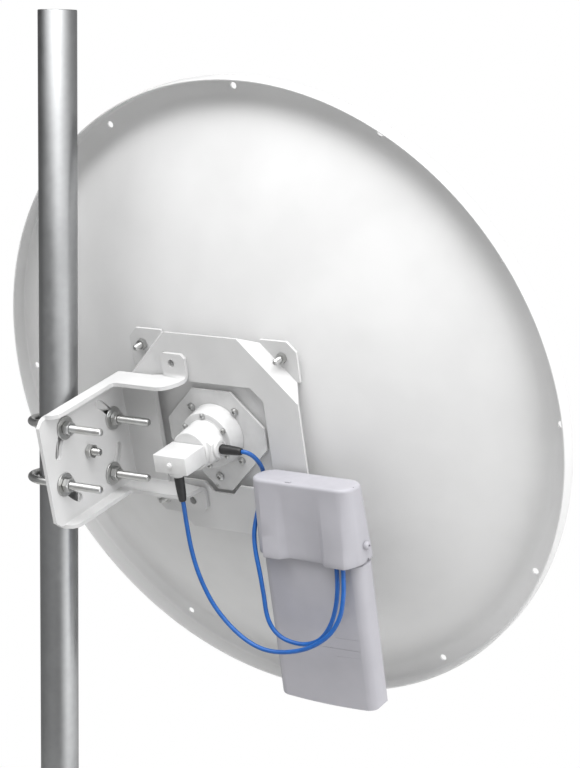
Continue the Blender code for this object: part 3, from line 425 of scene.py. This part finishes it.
def smooth_curve(route, steps=12):
    """Points on a smooth curve through a route, in metres in the model's frame."""
    pts = [Vector(p) * MM for p in route]
    fine = []
    for i in range(len(pts) - 1):
        p0 = pts[i - 1] if i else pts[0] * 2 - pts[1]
        p3 = pts[i + 2] if i + 2 < len(pts) else pts[-1] * 2 - pts[-2]
        p1, p2 = pts[i], pts[i + 1]
        for k in range(steps):
            t = k / steps
            fine.append(0.5 * (2 * p1 + (p2 - p0) * t + (2 * p0 - 5 * p1 + 4 * p2 - p3) * t * t
                               + (3 * p1 - p0 - 3 * p2 + p3) * t ** 3))
    return [HEAD @ p for p in fine + [pts[-1]]]


def rod_curve(name, points, radius, resolution=6):
    """A round rod or lead along points."""
    curve = bpy.data.curves.new(name, "CURVE")
    curve.dimensions = "3D"
    curve.bevel_depth, curve.bevel_resolution, curve.use_fill_caps = radius, resolution, True
    spline = curve.splines.new("POLY")
    spline.points.add(len(points) - 1)
    for point, place in zip(spline.points, points):
        point.co = (*place, 1.0)
    spline.use_smooth = True
    return new_object(name, curve)


def lead(name, node, route, finish):
    """A blue lead from its boot round to the radio box."""
    points = smooth_curve(route)
    obj = rod_curve(name, points, LEAD_DIAMETER / 2)
    obj.data.materials.append(finish)
    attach(obj, "head")
    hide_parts(node)


def mast(finish):
    """The mast tube, with its rims broken and its foot closed."""
    bore, edge, top = MAST_R - MAST_WALL, 0.0006, MAST_HEIGHT
    profile = [(0, 0), (MAST_R - edge, 0), (MAST_R, edge), (MAST_R, top - edge), (MAST_R - edge, top),
               (bore + edge, top), (bore, top - edge), (bore, FOOT_THICK), (0, FOOT_THICK)]
    settle(plain_object("mast_pole", lathe(profile, 128)), finish, FOOT, "mast", ["mast_tube"], angle=60)


def thread(start, end, radius=ROD_R):
    """A threaded stretch of rod along Z, its ridges drawn as rings at the thread's pitch, with a cut end."""
    root, chamfer = radius - THREAD_DEPTH, 0.0006
    profile = [(0, start), (radius, start)]
    for k in range(1, int((end - start - 2 * chamfer) / THREAD_PITCH) + 1):
        z = start + k * THREAD_PITCH
        profile += [(root, z - THREAD_PITCH / 2), (radius, z)]
    profile += [(root, end - chamfer), (root - chamfer, end), (0, end)]
    return lathe(profile, 24)


def u_bolt(name, node, rise, finish):
    """A round rod bent half round the mast, with both ends threaded."""
    bend_x, lead_in, overlap, sunk = LEG_SPREAD - ROD_R - MAST_R - GAP, 0.004, 0.001, 0.0001
    bend = arc((bend_x, 0.0), LEG_SPREAD, pi / 2, 3 * pi / 2, 48)
    legs_in = [(THREAD_X, LEG_SPREAD), (STRAIGHT_X, LEG_SPREAD), (bend_x + lead_in, LEG_SPREAD)]
    route = legs_in + bend + [(x, -y) for x, y in reversed(legs_in)]
    rod = flatten(rod_curve(name, [(x, y, rise) for x, y in route], ROD_R - sunk, 8))
    legs = [Matrix.Translation((0, y, rise)) @ TO_X for y in (LEG_SPREAD, -LEG_SPREAD)]
    ends = gathered([(thread(THREAD_X - overlap, LEG_END_X), at) for at in legs])
    ends.from_mesh(rod.data)
    bmesh.ops.remove_doubles(ends, verts=ends.verts, dist=WELD)
    bpy.data.objects.remove(rod)
    settle(plain_object(name, ends), finish, CLAMP, "clamp", [node], angle=50)


def hex_rings(across_flats, height, bore):
    """Rings of a chamfered hexagon along Z; bore 0 leaves it whole."""
    flat, turns, sink = across_flats / 2, 72, 0.0005
    edge = flat * 0.975
    spokes = [2 * pi * k / turns for k in range(turns)]
    low, high, round_low, round_high = [], [], [], []
    for a in spokes:
        corner = flat / cos((a % (pi / 3)) - pi / 6)
        drop = max(0.0, corner - edge) * tan(radians(30))
        low.append((corner * cos(a), corner * sin(a), drop))
        high.append((corner * cos(a), corner * sin(a), height - drop))
        round_low.append((edge * cos(a), edge * sin(a), 0.0))
        round_high.append((edge * cos(a), edge * sin(a), height))
    rings = [round_low, low, high, round_high]
    if bore:
        for r, z in ((bore + sink, height), (bore, height - sink), (bore, sink), (bore + sink, 0.0)):
            rings.append([(r * cos(a), r * sin(a), z) for a in spokes])
    return rings


def nut(across_flats, height, bore):
    """A chamfered hexagon nut along Z."""
    return loft(hex_rings(across_flats, height, bore), closed=True)


def washer(radius, bore, thickness):
    """A stamped washer with its burred side rounded over."""
    edge = 0.00035
    return lathe([(bore, 0), (radius - edge, 0), (radius, edge), (radius, thickness - edge),
                  (radius - edge, thickness), (bore + edge, thickness), (bore, thickness - edge)], 56)


def clamp_fasteners(finish):
    """Washers and nuts on the U-bolts' legs, and the bolt and nut that the bracket tilts on."""
    places = {"upper_back": (-LEG_SPREAD, LEG_RISE), "upper_front": (LEG_SPREAD, LEG_RISE),
              "lower_back": (-LEG_SPREAD, -LEG_RISE), "lower_front": (LEG_SPREAD, -LEG_RISE)}
    for turn, (where, (y, z)) in enumerate(places.items()):
        at = Matrix.Translation((WEB_FACE + GAP, y, z)) @ TO_X
        ring = plain_object(f"washer_{where}", washer(WASHER_R, ROD_R + GAP, WASHER_T))
        settle(ring, finish, CLAMP @ at, "clamp", [f"leg_washer_{where}"], angle=30)
        on_it = at @ Matrix.Translation((0, 0, WASHER_T + GAP)) @ turned(7 + 11 * turn)
        settle(plain_object(f"nut_{where}", nut(NUT_AF, NUT_T, ROD_R)), finish, CLAMP @ on_it, "clamp",
               [f"leg_nut_{where}"], angle=25)
    head_x, shank_start = WEB_FACE - WEB_SHEET - 2 * GAP - SADDLE_PLATE - HEAD_T, 0.002
    bolt = gathered([(loft(hex_rings(NUT_AF, HEAD_T, 0)), HERE),
                     (thread(shank_start, SHANK_END - head_x), HERE)])
    bolt_at = CLAMP @ Matrix.Translation((head_x, 0, 0)) @ TO_X
    settle(plain_object("tilt_bolt", bolt), finish, bolt_at, "clamp", ["pivot_bolt"], angle=30)
    nut_at = CLAMP @ Matrix.Translation((WEB_FACE + GAP, 0, 0)) @ TO_X @ turned(19)
    hexagon = plain_object("tilt_nut", nut(NUT_AF, PIVOT_NUT_T, ROD_R))
    settle(hexagon, finish, nut_at, "clamp", ["pivot_nut"], angle=25)


def bowl_back(radius):
    """How far behind the flange the bowl's rear skin lies at a radius."""
    return BOWL_DEPTH * (1 - (radius / BOWL_R) ** 2)


def reflector(finish):
    """The spun dish in one skin: bowl, rounded crease, flange with its holes, and the lip turned back."""
    bend, tip = LIP_BEND_R, SHEET / 2
    slope = 2 * BOWL_DEPTH * CREASE_R / BOWL_R ** 2
    start, corner = (CREASE_R, -bowl_back(CREASE_R)), (CREASE_R + bowl_back(CREASE_R) / slope, 0.0)
    radii = [BORE_R + (CREASE_R - BORE_R) * i / 36 for i in range(36)]
    rear = [(r, -bowl_back(r)) for r in radii]
    for i in range(9):
        t = i / 8
        rear.append(tuple((1 - t) ** 2 * a + 2 * t * (1 - t) * b + t * t * c
                          for a, b, c in zip(start, corner, (FLAT_FROM_R, 0.0))))
    front = [(r, h + SHEET) for r, h in reversed(rear)]
    lip_in = RIM_R - SHEET
    lip = arc((lip_in - bend, -bend), bend, pi / 2, 0, 6)
    lip += arc((lip_in + tip, tip - LIP_BACK), tip, pi, 2 * pi, 6)
    lip += arc((RIM_R - bend - tip, SHEET - bend - tip), bend + tip, 0, pi / 2, 8)
    dish = plain_object("dish", lathe(rear + lip + front, 288))
    holes = [(plug(RIM_HOLE_R, -0.004, 0.006, 32), Matrix.Translation(spot))
             for spot in on_circle(HOLE_CIRCLE_R, [360 / RIM_HOLES * i for i in range(RIM_HOLES)], 0)]
    skin, reach = -bowl_back(BOLT_OFFSET * sqrt(2)), 0.01
    holes += [(plug(BOLT_HOLE_R, skin - reach, skin + reach, 24), Matrix.Translation((x, y, 0)))
              for x in (-BOLT_OFFSET, BOLT_OFFSET) for y in (-BOLT_OFFSET, BOLT_OFFSET)]
    cut(dish, gathered(holes))
    at = HEAD @ Matrix.Translation((DISH_X, FLANGE_Y, 0)) @ TO_Y
    settle(dish, finish, at, "head", ["dish_bowl", "dish_rim"])


def frame_bolts(finish):
    """The four shouldered bolts that hold the frame off the bowl, and their nuts."""
    skin_y, clear = FLANGE_Y - bowl_back(BOLT_OFFSET * sqrt(2)), 0.0022
    seat, head_low = EAR_Y + EAR_SHEET + GAP, skin_y + SHEET + clear
    stud_length, stud_high = 0.0165, EAR_Y + 0.0015
    dome = [(r, head_low + rise)
            for r, rise in ((0.0065, 0), (0.0065, 0.0006), (0.0060, 0.0018), (0.0045, 0.0028), (0.0022, 0.0032),
                            (0.0019, 0.0016), (0, 0.0016))]
    body = [(0, seat), (STUD_R - 0.0005, seat), (SHOULDER_R, seat), (SHOULDER_R, skin_y - clear),
            (STUD_R, skin_y - clear), (STUD_R, head_low)]
    for x, side in ((BOLT_OFFSET, "right"), (-BOLT_OFFSET, "left")):
        for z, level in ((BOLT_OFFSET, "upper"), (-BOLT_OFFSET, "lower")):
            at = HEAD @ Matrix.Translation((DISH_X + x, 0, z)) @ TO_Y
            bolt = gathered([(lathe(body + dome, 40), HERE),
                             (thread(0, stud_length, STUD_R), Matrix.Translation((0, 0, stud_high)) @ DOWN)])
            settle(plain_object(f"frame_bolt_{level}_{side}", bolt), finish, at, "head",
                   [f"corner_bolt_{level}_{side}"])
            low = at @ Matrix.Translation((0, 0, EAR_Y - GAP - FRAME_NUT_T)) @ turned(13)
            hexagon = plain_object(f"frame_nut_{level}_{side}", nut(FRAME_NUT_AF, FRAME_NUT_T, STUD_R))
            settle(hexagon, finish, low, "head", [f"corner_nut_{level}_{side}"], angle=25)


def feed_rear(finish):
    """The feed behind the bowl: drum, body with its raised pad, and the block with its small peg."""
    low, high = DRUM_Y, PLATE_Y - GAP
    drum = [(0, low), (0.0238, low), (0.0240, low + 0.0004), (0.0286, low + 0.0004), (0.0294, low + 0.0007),
            (0.0300, low + 0.0016), (0.0306, low + 0.0050), (0.0312, high - 0.0050), (0.0319, high - 0.0022),
            (0.0327, high - 0.0006), (0.0327, high), (0, high)]
    settle(plain_object("drum", lathe(drum, 96)), finish, DISH @ TO_Y, "head", ["feed_drum"])
    low, high = BODY_Y, DRUM_Y - GAP
    shell = [(0, low)] + arc((0.0190, low + 0.0016), 0.0016, -pi / 2, -0.15, 6)
    shell += [(0.0224, high - 0.0030), (0.0229, high - 0.0012), (0.0232, high), (0, high)]
    pad_outline = ((-0.0010, -0.0105), (0.0085, -0.0105), (0.0115, -0.0080), (0.0115, 0.0080), (0.0085, 0.0105),
                   (-0.0010, 0.0105))
    pad = plain_object("pad", loft([[(x, y, z) for x, z in pad_outline] for y in (0.0305, 0.0510)]))
    pad = loose(soften(pad, 0.0007))
    body = gathered([(lathe(shell, 96), TO_Y), (pad, Matrix.Translation((0.013, 0, 0)))])
    settle(plain_object("feed_shell", body), finish, DISH, "head", ["feed_body"])
    block = slab(-BLOCK_HALF_W, BLOCK_HALF_W, BLOCK_Y, BODY_Y - GAP, -BLOCK_HALF_H, BLOCK_HALF_H)
    block = loose(soften(plain_object("block", block), 0.0006))
    peg = lathe([(0, 0), (0.0012, 0), (0.0016, 0.0003), (0.0017, 0.0006), (0.0027, 0.0011), (0.0029, 0.0017),
                 (0.0029, 0.006), (0, 0.006)], 32)
    both = gathered([(block, HERE), (peg, Matrix.Translation((0, BLOCK_Y - 0.0035, 0)) @ TO_Y)])
    settle(plain_object("feed_port_block", both), finish, DISH, "head", ["feed_block"])


def connectors(casting, rubber):
    """The two ports, each a flange ring and a collar, and the boots on the leads' ends."""
    side_x, side_y, side_z = [value * MM for value in SIDE_ROUTE[0]]
    lower_y, lower_z = [value * MM for value in LOWER_ROUTE[0][1:]]
    ports = (("side_socket", "side_port", SIDE_PORT, (DISH_X + PORT_X + GAP, side_y, side_z), TO_X),
             ("lower_socket", "lower_port", LOWER_PORT, (DISH_X, lower_y, -BLOCK_HALF_H - GAP), DOWN))
    for name, node, length, spot, aim in ports:
        rim = min(length, PORT_RIM_T)
        ring = [(0, 0), (0.0093, 0), (0.0095, 0.0003), (0.0095, rim - 0.0008), (0.0092, rim - 0.0002),
                (0.0087, rim), (0.0070, rim), (0.0067, rim - 0.0004), (0.0060, rim - 0.0004),
                (0.0058, length - 0.0003), (0.0055, length), (0, length)]
        place = HEAD @ (Matrix.Translation(spot) @ aim)
        settle(plain_object(name, lathe(ring, 64)), casting, place, "head", [node], angle=40)
    boots = (("side_sleeve", "side_boot", SIDE_BOOT, (side_x - 2 * GAP - SIDE_BOOT, side_y, side_z), TO_X),
             ("lower_sleeve", "lower_boot", LOWER_BOOT, (DISH_X, lower_y, lower_z + GAP + LOWER_BOOT), DOWN))
    for name, node, length, spot, aim in boots:
        taper = [(0, 0), (0.0044, 0), (0.0048, 0.0004), (0.0050, 0.0012), (0.0050, 0.0040), (0.0049, 0.007),
                 (0.0047, 0.5 * length), (0.0044, 0.75 * length), (0.0040, length - 0.0030),
                 (0.0037, length - 0.0010), (0.0033, length - 0.0002), (0.0028, length), (0, length)]
        place = HEAD @ (Matrix.Translation(spot) @ aim)
        settle(plain_object(name, lathe(taper, 48)), rubber, place, "head", [node], angle=50)


def feed_front(casting, radome):
    """The feed in front of the bowl: its tube and its covered head."""
    base, start, pipe_r = PLATE_Y + GAP, PLATE_Y + PLATE_T + GAP, FEED_TUBE_R
    tube = [(0, base), (BORE_R - GAP, base), (BORE_R - 0.0005, start + 0.009), (0.0197, start + 0.0112),
            (pipe_r, start + 0.012), (pipe_r, TUBE_END - 0.001), (pipe_r - 0.001, TUBE_END), (0, TUBE_END)]
    settle(plain_object("feed_pipe", lathe(tube, 96)), casting, DISH @ TO_Y, "head", ["feed_tube"])
    low = TUBE_END + GAP
    cover = [(0, low), (0.0208, low), (0.0215, low + 0.0008), (0.0215, low + 0.012), (0.0225, low + 0.0150)]
    cover += [(0.0225 + 0.0135 * t, low + 0.0150 + 0.019 * t ** 0.8) for t in (0.25, 0.5, 0.75, 1.0)]
    cover += [(0.0372, low + 0.038), (0.0375, low + 0.041), (0.0375, low + 0.047), (0.0372, low + 0.0473),
              (0.0372, low + 0.0479), (0.0375, low + 0.0482)]
    cover += arc((0.0335, FEED_TIP_Y - 0.004), 0.004, 0, pi / 2, 6) + [(0, FEED_TIP_Y)]
    settle(plain_object("feed_radome", lathe(cover, 96)), radome, DISH @ TO_Y, "head", ["feed_cover"])


def screw_heads(name, finish, points, radius, height, place, body):
    """Button-head screws on points, made by Geometry Nodes from a dome, a ledge and a sunk recess."""
    tree = bpy.data.node_groups.new(name, "GeometryNodeTree")
    tree.interface.new_socket("Geometry", in_out="INPUT", socket_type="NodeSocketGeometry")
    sizes = {"Head Radius": radius, "Head Height": height, "Recess Radius": 0.42 * radius,
             "Recess Depth": 0.6 * height}
    sockets = {key: tree.interface.new_socket(key, in_out="INPUT", socket_type="NodeSocketFloat")
               for key in sizes}
    tree.interface.new_socket("Geometry", in_out="OUTPUT", socket_type="NodeSocketGeometry")
    given = add_node(tree, "NodeGroupInput")
    share = {}
    for key, source, factor in (("ledge", "Head Radius", 0.62), ("skirt", "Head Height", 0.55),
                                ("crown", "Head Height", 0.45), ("floor", "Head Height", 1.0)):
        share[key] = add_node(tree, "ShaderNodeMath", {"operation": "MULTIPLY"}, {1: factor},
                              {0: given.outputs[source]}).outputs["Value"]
    sunk = add_node(tree, "ShaderNodeMath", {"operation": "SUBTRACT"}, None,
                    {0: share["floor"], 1: given.outputs["Recess Depth"]}).outputs["Value"]
    wide, recess, deep = [given.outputs[key] for key in ("Head Radius", "Recess Radius", "Recess Depth")]
    # Top radius, bottom radius, height and lift of each ring of faces: skirt, crown, ledge, recess and its floor
    layers = [(wide, wide, share["skirt"], None), (share["ledge"], wide, share["crown"], share["skirt"]),
              (recess, share["ledge"], None, share["floor"]), (recess, recess, deep, sunk),
              (None, recess, None, sunk)]
    under = add_node(tree, "GeometryNodeMeshCircle", {"fill_type": "NGON"}, {"Vertices": 24}, {"Radius": wide})
    join = add_node(tree, "GeometryNodeJoinGeometry", None, None, {"Geometry": under.outputs["Mesh"]})
    for top, bottom, depth, lift in layers:
        links = {"Radius Bottom": bottom}
        if top:
            links["Radius Top"] = top
        if depth:
            links["Depth"] = depth
        cone = add_node(tree, "GeometryNodeMeshCone", {"fill_type": "NONE"},
                        {"Vertices": 24, "Radius Top": 0.0, "Depth": 0.0}, links)
        shape = cone.outputs["Mesh"]
        if lift:
            up = add_node(tree, "ShaderNodeCombineXYZ", None, None, {"Z": lift})
            shape = add_node(tree, "GeometryNodeTransform", None, None,
                             {"Geometry": shape, "Translation": up.outputs["Vector"]}).outputs["Geometry"]
        tree.links.new(shape, join.inputs["Geometry"])
    whole = add_node(tree, "GeometryNodeMergeByDistance", None, {"Distance": WELD},
                     {"Geometry": join.outputs["Geometry"]})
    spots = add_node(tree, "GeometryNodeMeshToPoints", None, None, {"Mesh": given.outputs["Geometry"]})
    each = add_node(tree, "GeometryNodeInstanceOnPoints", None, None,
                    {"Points": spots.outputs["Points"], "Instance": whole.outputs["Geometry"]})
    real = add_node(tree, "GeometryNodeRealizeInstances", None, None, {"Geometry": each.outputs["Instances"]})
    coat = add_node(tree, "GeometryNodeSetMaterial", None, {"Material": finish},
                    {"Geometry": real.outputs["Geometry"]})
    add_node(tree, "NodeGroupOutput", None, None, {"Geometry": coat.outputs["Geometry"]})
    mesh = bpy.data.meshes.new(name)
    mesh.from_pydata([tuple(p) for p in points], [], [])
    obj = new_object(name, mesh)
    mod = obj.modifiers.new(name, "NODES")
    mod.node_group = tree
    for key, socket in sockets.items():
        mod[socket.identifier] = sizes[key]
    return settle(flatten(obj), finish, place, body, angle=25)


def box_ring(half_w, height, steps=10):
    """Plan outline of the radio box at one height, with round sides."""
    points = arc((half_w - BOX_BACK_R, BOX_BACK_Y + BOX_BACK_R), BOX_BACK_R, -pi / 2, 0, steps)
    points += arc((half_w - BOX_FRONT_R, BOX_FRONT_Y - BOX_FRONT_R), BOX_FRONT_R, 0, pi / 2, steps)
    points += [(-x, y) for x, y in reversed(points)]
    return [(x, y, height) for x, y in points]


def box_end():
    """A stencil of the case seen square on: a lower end that sags a little, with small round corners."""
    inner = BOX_HALF_W - BOX_END_R
    arch_r = (inner ** 2 + BOX_SAG ** 2) / (2 * BOX_SAG)
    swing = atan2(inner, arch_r - BOX_SAG)
    corner_z = BOX_LOW + BOX_SAG + BOX_END_R
    outline = arc((-inner, corner_z), BOX_END_R, pi, 3 * pi / 2, 8)[:-1]
    outline += arc((0, BOX_LOW + arch_r), arch_r, -pi / 2 - swing, -pi / 2 + swing, 24)
    outline += arc((inner, corner_z), BOX_END_R, -pi / 2, 0, 8)[1:-1]
    wide, top = BOX_HALF_W + 0.001, BOX_TOP + 0.001
    outline += [(wide, corner_z), (wide, top), (-wide, top), (-wide, corner_z)]
    return loft([[(x, y, z) for x, z in outline] for y in (0.015, 0.075)])


def radio_case(finish):
    """The flat case, with three fine mould lines low on its back and a neck that goes up into the cap."""
    widths = ((BOX_HALF_W, BOX_LOW - 0.001), (BOX_HALF_W, BOX_NECK - 0.0018),
              (BOX_HALF_W - 0.0008, BOX_NECK - 0.001), (BOX_NECK_HALF_W, BOX_NECK), (BOX_NECK_HALF_W, BOX_TOP))
    case = plain_object("radio_case", loft([box_ring(half, z) for half, z in widths]))
    cut(case, box_end(), "INTERSECT")
    soften(case, 0.0016, angle=50, segments=3)
    wide = MOULD_LINE_HALF_W
    lines = [(slab(-0.5 * length, 0.5 * length, -deep, deep, -wide, wide),
              Matrix.Translation((x, BOX_BACK_Y, z)) @ Matrix.Rotation(-radians(lean), 4, "Y"))
             for x, z, length, lean, deep in MOULD_LINES]
    cut(case, gathered(lines))
    # The raised inlets that the leads go up into under the cap, and the pad that the hanger holds
    inlets = slab(0.028, 0.046, BOX_BACK_Y - 0.0045, BOX_BACK_Y + 0.003, -0.0205, 0.002)
    pad = slab(-0.022, 0.022, BOX_FRONT_Y - 0.003, 0.067, -0.130, -0.060)
    cut(case, gathered([(inlets, HERE), (pad, HERE)]), "UNION")
    settle(case, finish, BOX, "head", ["radio_body"], weighted=True)


def channel_rise(x, inset):
    """How far a channel stands out at X, from none to whole, on a slope that is eased a little at both ends."""
    ease = 0.3
    for a, b, c, d in CHANNELS:
        b, c = b + inset, c - inset
        if a < x < d:
            share = min(1.0, (x - a) / (b - a), (d - x) / (d - c))
            return (1 - ease) * share + ease * share * share * (3 - 2 * share)
    return 0.0


def cap_ring(share, inset, deep, height):
    """Plan outline of the cap at one height, drawn in by an inset, with its two channels raised."""
    half = CAP_HALF_LOW + (CAP_HALF_TOP - CAP_HALF_LOW) * share - inset
    low, high = CAP_BACK_Y + inset, CAP_FRONT_Y - inset
    back_r = CAP_BACK_R + CAP_ROUNDER[0] * share - inset
    front_r = CAP_FRONT_R + CAP_ROUNDER[1] * share - inset
    bend = half - back_r
    stations = [side * (bend + back_r * sin(pi / 2 * k / 10)) for side in (1, -1) for k in range(11)]
    for a, b, c, d in CHANNELS:
        b, c = b + inset, c - inset
        stations += [a + (b - a) * i / 5 for i in range(6)] + [c + (d - c) * i / 6 for i in range(7)]
    ring = []
    for x in sorted(stations):
        out = min(back_r, max(0.0, abs(x) - bend))
        ring.append((x, low + back_r - sqrt(back_r ** 2 - out ** 2) - deep * channel_rise(x, inset)))
    front = arc((half - front_r, high - front_r), front_r, 0, pi / 2, 8)
    ring += front + [(-x, y) for x, y in reversed(front)]
    slope = CAP_TOP_DROP / (CAP_FRONT_Y - CAP_BACK_Y) if height > 0 else 0.0
    return [(x, y, height - slope * (y - CAP_BACK_Y)) for x, y in ring]


def radio_cover(finish):
    """The cap over the upper end: open below, with a rounded top edge, two growing channels and a small nib."""
    flat, edge, under = CAP_TOP - 0.007, 0.0008, 0.004
    tall = flat - CAP_LOW
    rings = [cap_ring(0, edge, CHANNEL_DEPTH, CAP_LOW), cap_ring(0.01, 0.0002, CHANNEL_DEPTH, CAP_LOW + 0.0003),
             cap_ring(0.02, 0, CHANNEL_DEPTH, CAP_LOW + edge)]
    for i in range(1, 13):
        share = i / 12
        rings.append(cap_ring(share, 0, CHANNEL_DEPTH * (1 - share), CAP_LOW + edge + (tall - edge) * share))
    for k in range(8):
        a = pi / 2 * k / 7
        rings.append(cap_ring(1, CAP_EDGE_R * (1 - cos(a)), 0, CAP_TOP - CAP_EDGE_R + CAP_EDGE_R * sin(a)))
    cap = plain_object("radio_cover", loft(rings))
    deeper = CHANNEL_DEPTH * (1 + under / tall)
    cut(cap, loft([cap_ring(-under / tall, CAP_WALL, deeper, CAP_LOW - under), cap_ring(1, CAP_WALL, 0, flat),
                   cap_ring(1, CAP_WALL + 0.0005, 0, CAP_TOP - 0.003)]))
    # The top slopes, and this is its height where the nib stands
    nib_z = CAP_TOP - CAP_TOP_DROP * 0.08
    nib = slab(-0.0142, -0.0082, CAP_BACK_Y + 0.0022, CAP_BACK_Y + 0.0048, nib_z - 0.002, nib_z + 0.0007)
    cut(cap, nib, "UNION")
    cut(cap, gathered([(slab(-0.0012, 0.0012, -0.0022, 0.0022, -0.0026, 0.0026),
                        Matrix.Translation((x, y, CAP_LOW))) for x, y in NOTCHES]))
    settle(cap, finish, BOX, "head", ["radio_cap"], angle=45)
    head = [(0, 0), (0.0042, 0), (0.0042, 0.0026), (0.0040, 0.0032), (0.0034, 0.0041), (0.0028, 0.0044),
            (0.0016, 0.0044), (0.0015, 0.0030), (0, 0.0030)]
    at = HEAD @ Matrix.Translation((BOX_X + CAP_HALF_LOW, CAP_SCREW_Y, CAP_SCREW_Z)) @ TO_X
    settle(plain_object("cover_screw", lathe(head, 40)), finish, at, "head", ["cap_screw"], angle=40)


def camera():
    """The photograph's camera, solved from the rim circle, the rim holes and the mast."""
    data = bpy.data.cameras.new("camera")
    data.sensor_fit = "VERTICAL"
    data.sensor_height = 36.0
    data.lens = FOCAL_PIXELS / PHOTO_HEIGHT * data.sensor_height
    data.clip_end = 60.0
    obj = new_object("camera", data)
    right, up = Vector(CAMERA_RIGHT).normalized(), Vector(CAMERA_UP).normalized()
    back = right.cross(up).normalized()
    up = back.cross(right)
    obj.matrix_world = Matrix.Translation(CAMERA_PLACE) @ Matrix((right, up, back)).transposed().to_4x4()
    bpy.context.scene.camera = obj


def surround(tree, bands):
    """Light that changes smoothly with bearing and height, as from large soft panels."""
    place = add_node(tree, "ShaderNodeTexCoord")
    bearing = add_node(tree, "ShaderNodeTexGradient", {"gradient_type": "RADIAL"}, None,
                       {"Vector": place.outputs["Generated"]})
    parts = add_node(tree, "ShaderNodeSeparateXYZ", None, None, {"Vector": place.outputs["Generated"]})
    height = add_node(tree, "ShaderNodeMath", {"operation": "ARCSINE"}, None, {0: parts.outputs["Z"]})
    level, below = None, 0
    for elevation, shares in bands:
        ramp = add_node(tree, "ShaderNodeValToRGB", None, None, {"Fac": bearing.outputs["Fac"]})
        stops = ramp.color_ramp.elements
        while len(stops) < len(shares) + 1:
            stops.new(0.5)
        for k, share in enumerate((*shares, shares[0])):
            stops[k].position = k / len(shares)
            stops[k].color = (share, share, share, 1.0)
        if level is None:
            level = ramp.outputs["Color"]
        else:
            rise = add_node(tree, "ShaderNodeMapRange", None,
                            {"From Min": radians(below), "From Max": radians(elevation)},
                            {"Value": height.outputs["Value"]})
            links = {"Fac": rise.outputs["Result"], "Color1": level, "Color2": ramp.outputs["Color"]}
            level = add_node(tree, "ShaderNodeMixRGB", None, None, links).outputs["Color"]
        below = elevation
    return level


def studio():
    """Pale floor, a white backdrop for the camera and the surround as the only light."""
    world = bpy.data.worlds.new("studio")
    bpy.context.scene.world = world
    world.use_nodes = True
    tree = world.node_tree
    rays = add_node(tree, "ShaderNodeLightPath")
    light = tree.nodes["Background"]
    light.inputs["Strength"].default_value = PEAK
    tree.links.new(surround(tree, SURROUND), light.inputs["Color"])
    backdrop = add_node(tree, "ShaderNodeBackground", None, {"Color": (1, 1, 1, 1)})
    seen = add_node(tree, "ShaderNodeMixShader", None, None,
                    {0: rays.outputs["Is Camera Ray"], 1: light.outputs["Background"],
                     2: backdrop.outputs["Background"]})
    tree.links.new(seen.outputs["Shader"], tree.nodes["World Output"].inputs["Surface"])
    floor = plain_object("floor", plug(FLOOR_R, FLOOR_LOW, FLOOR_TOP, 96))
    pale = bpy.data.materials.new("pale_floor")
    pale.use_nodes = True
    shader = pale.node_tree.nodes["Principled BSDF"]
    shader.inputs["Base Color"].default_value = srgb("#BDBDBC")
    shader.inputs["Roughness"].default_value = 0.8
    floor.data.materials.append(pale)
    bpy.context.scene.view_settings.view_transform = "Standard"


camera()
steel, zinc, coat, paint = galvanised_tube(), zinc_plate(), white_coat(), dish_coat()
casting = white_casting()
plastic, rubber, jacket, radome = grey_plastic(), black_rubber(), blue_pvc(), radome_plastic()
lead("side_lead_jacket", "side_lead", SIDE_ROUTE, jacket)
lead("lower_lead_jacket", "lower_lead", LOWER_ROUTE, jacket)
mast(steel)
u_bolt("upper_rod", "u_bolt_upper", LEG_RISE, zinc)
u_bolt("lower_rod", "u_bolt_lower", -LEG_RISE, zinc)
clamp_fasteners(zinc)
dressed("saddle_block", "saddle", zinc, "clamp", 0.0008)
dressed("mount_bracket", "tilt_bracket", coat, "head", 0.0004)
dressed("mount_frame", "rear_frame", coat, "head", 0.0004)
dressed("radio_hanger", "hanger_plate", coat, "head", 0.0004)
dressed("feed_plate", "square_plate", casting, "head", 0.0005)
reflector(paint)
frame_bolts(zinc)
feed_rear(casting)
connectors(casting, rubber)
feed_front(casting, radome)
SCREW_AIM = DISH @ TO_Y @ DOWN
drum_spots = on_circle(DRUM_SCREW_CIRCLE_R, range(30, 390, 60), -DRUM_Y - 0.0002)
screw_heads("drum_screws", zinc, drum_spots, 0.0029, 0.0022, SCREW_AIM, "head")
plate_spots = on_circle(PLATE_SCREW_CIRCLE_R, (45, 135, 225, 315), -PLATE_Y)
screw_heads("plate_screws", zinc, plate_spots, 0.0041, 0.0030, SCREW_AIM, "head")
screw_heads("low_screw", zinc, [(-0.0035, -0.0477, -PLATE_Y)], 0.0046, 0.0036, SCREW_AIM, "head")
screw_heads("tiny_screw", zinc, [(-0.0090, -0.0584, -PLATE_Y)], 0.0017, 0.0014, SCREW_AIM, "head")
radio_case(plastic)
radio_cover(plastic)
studio()
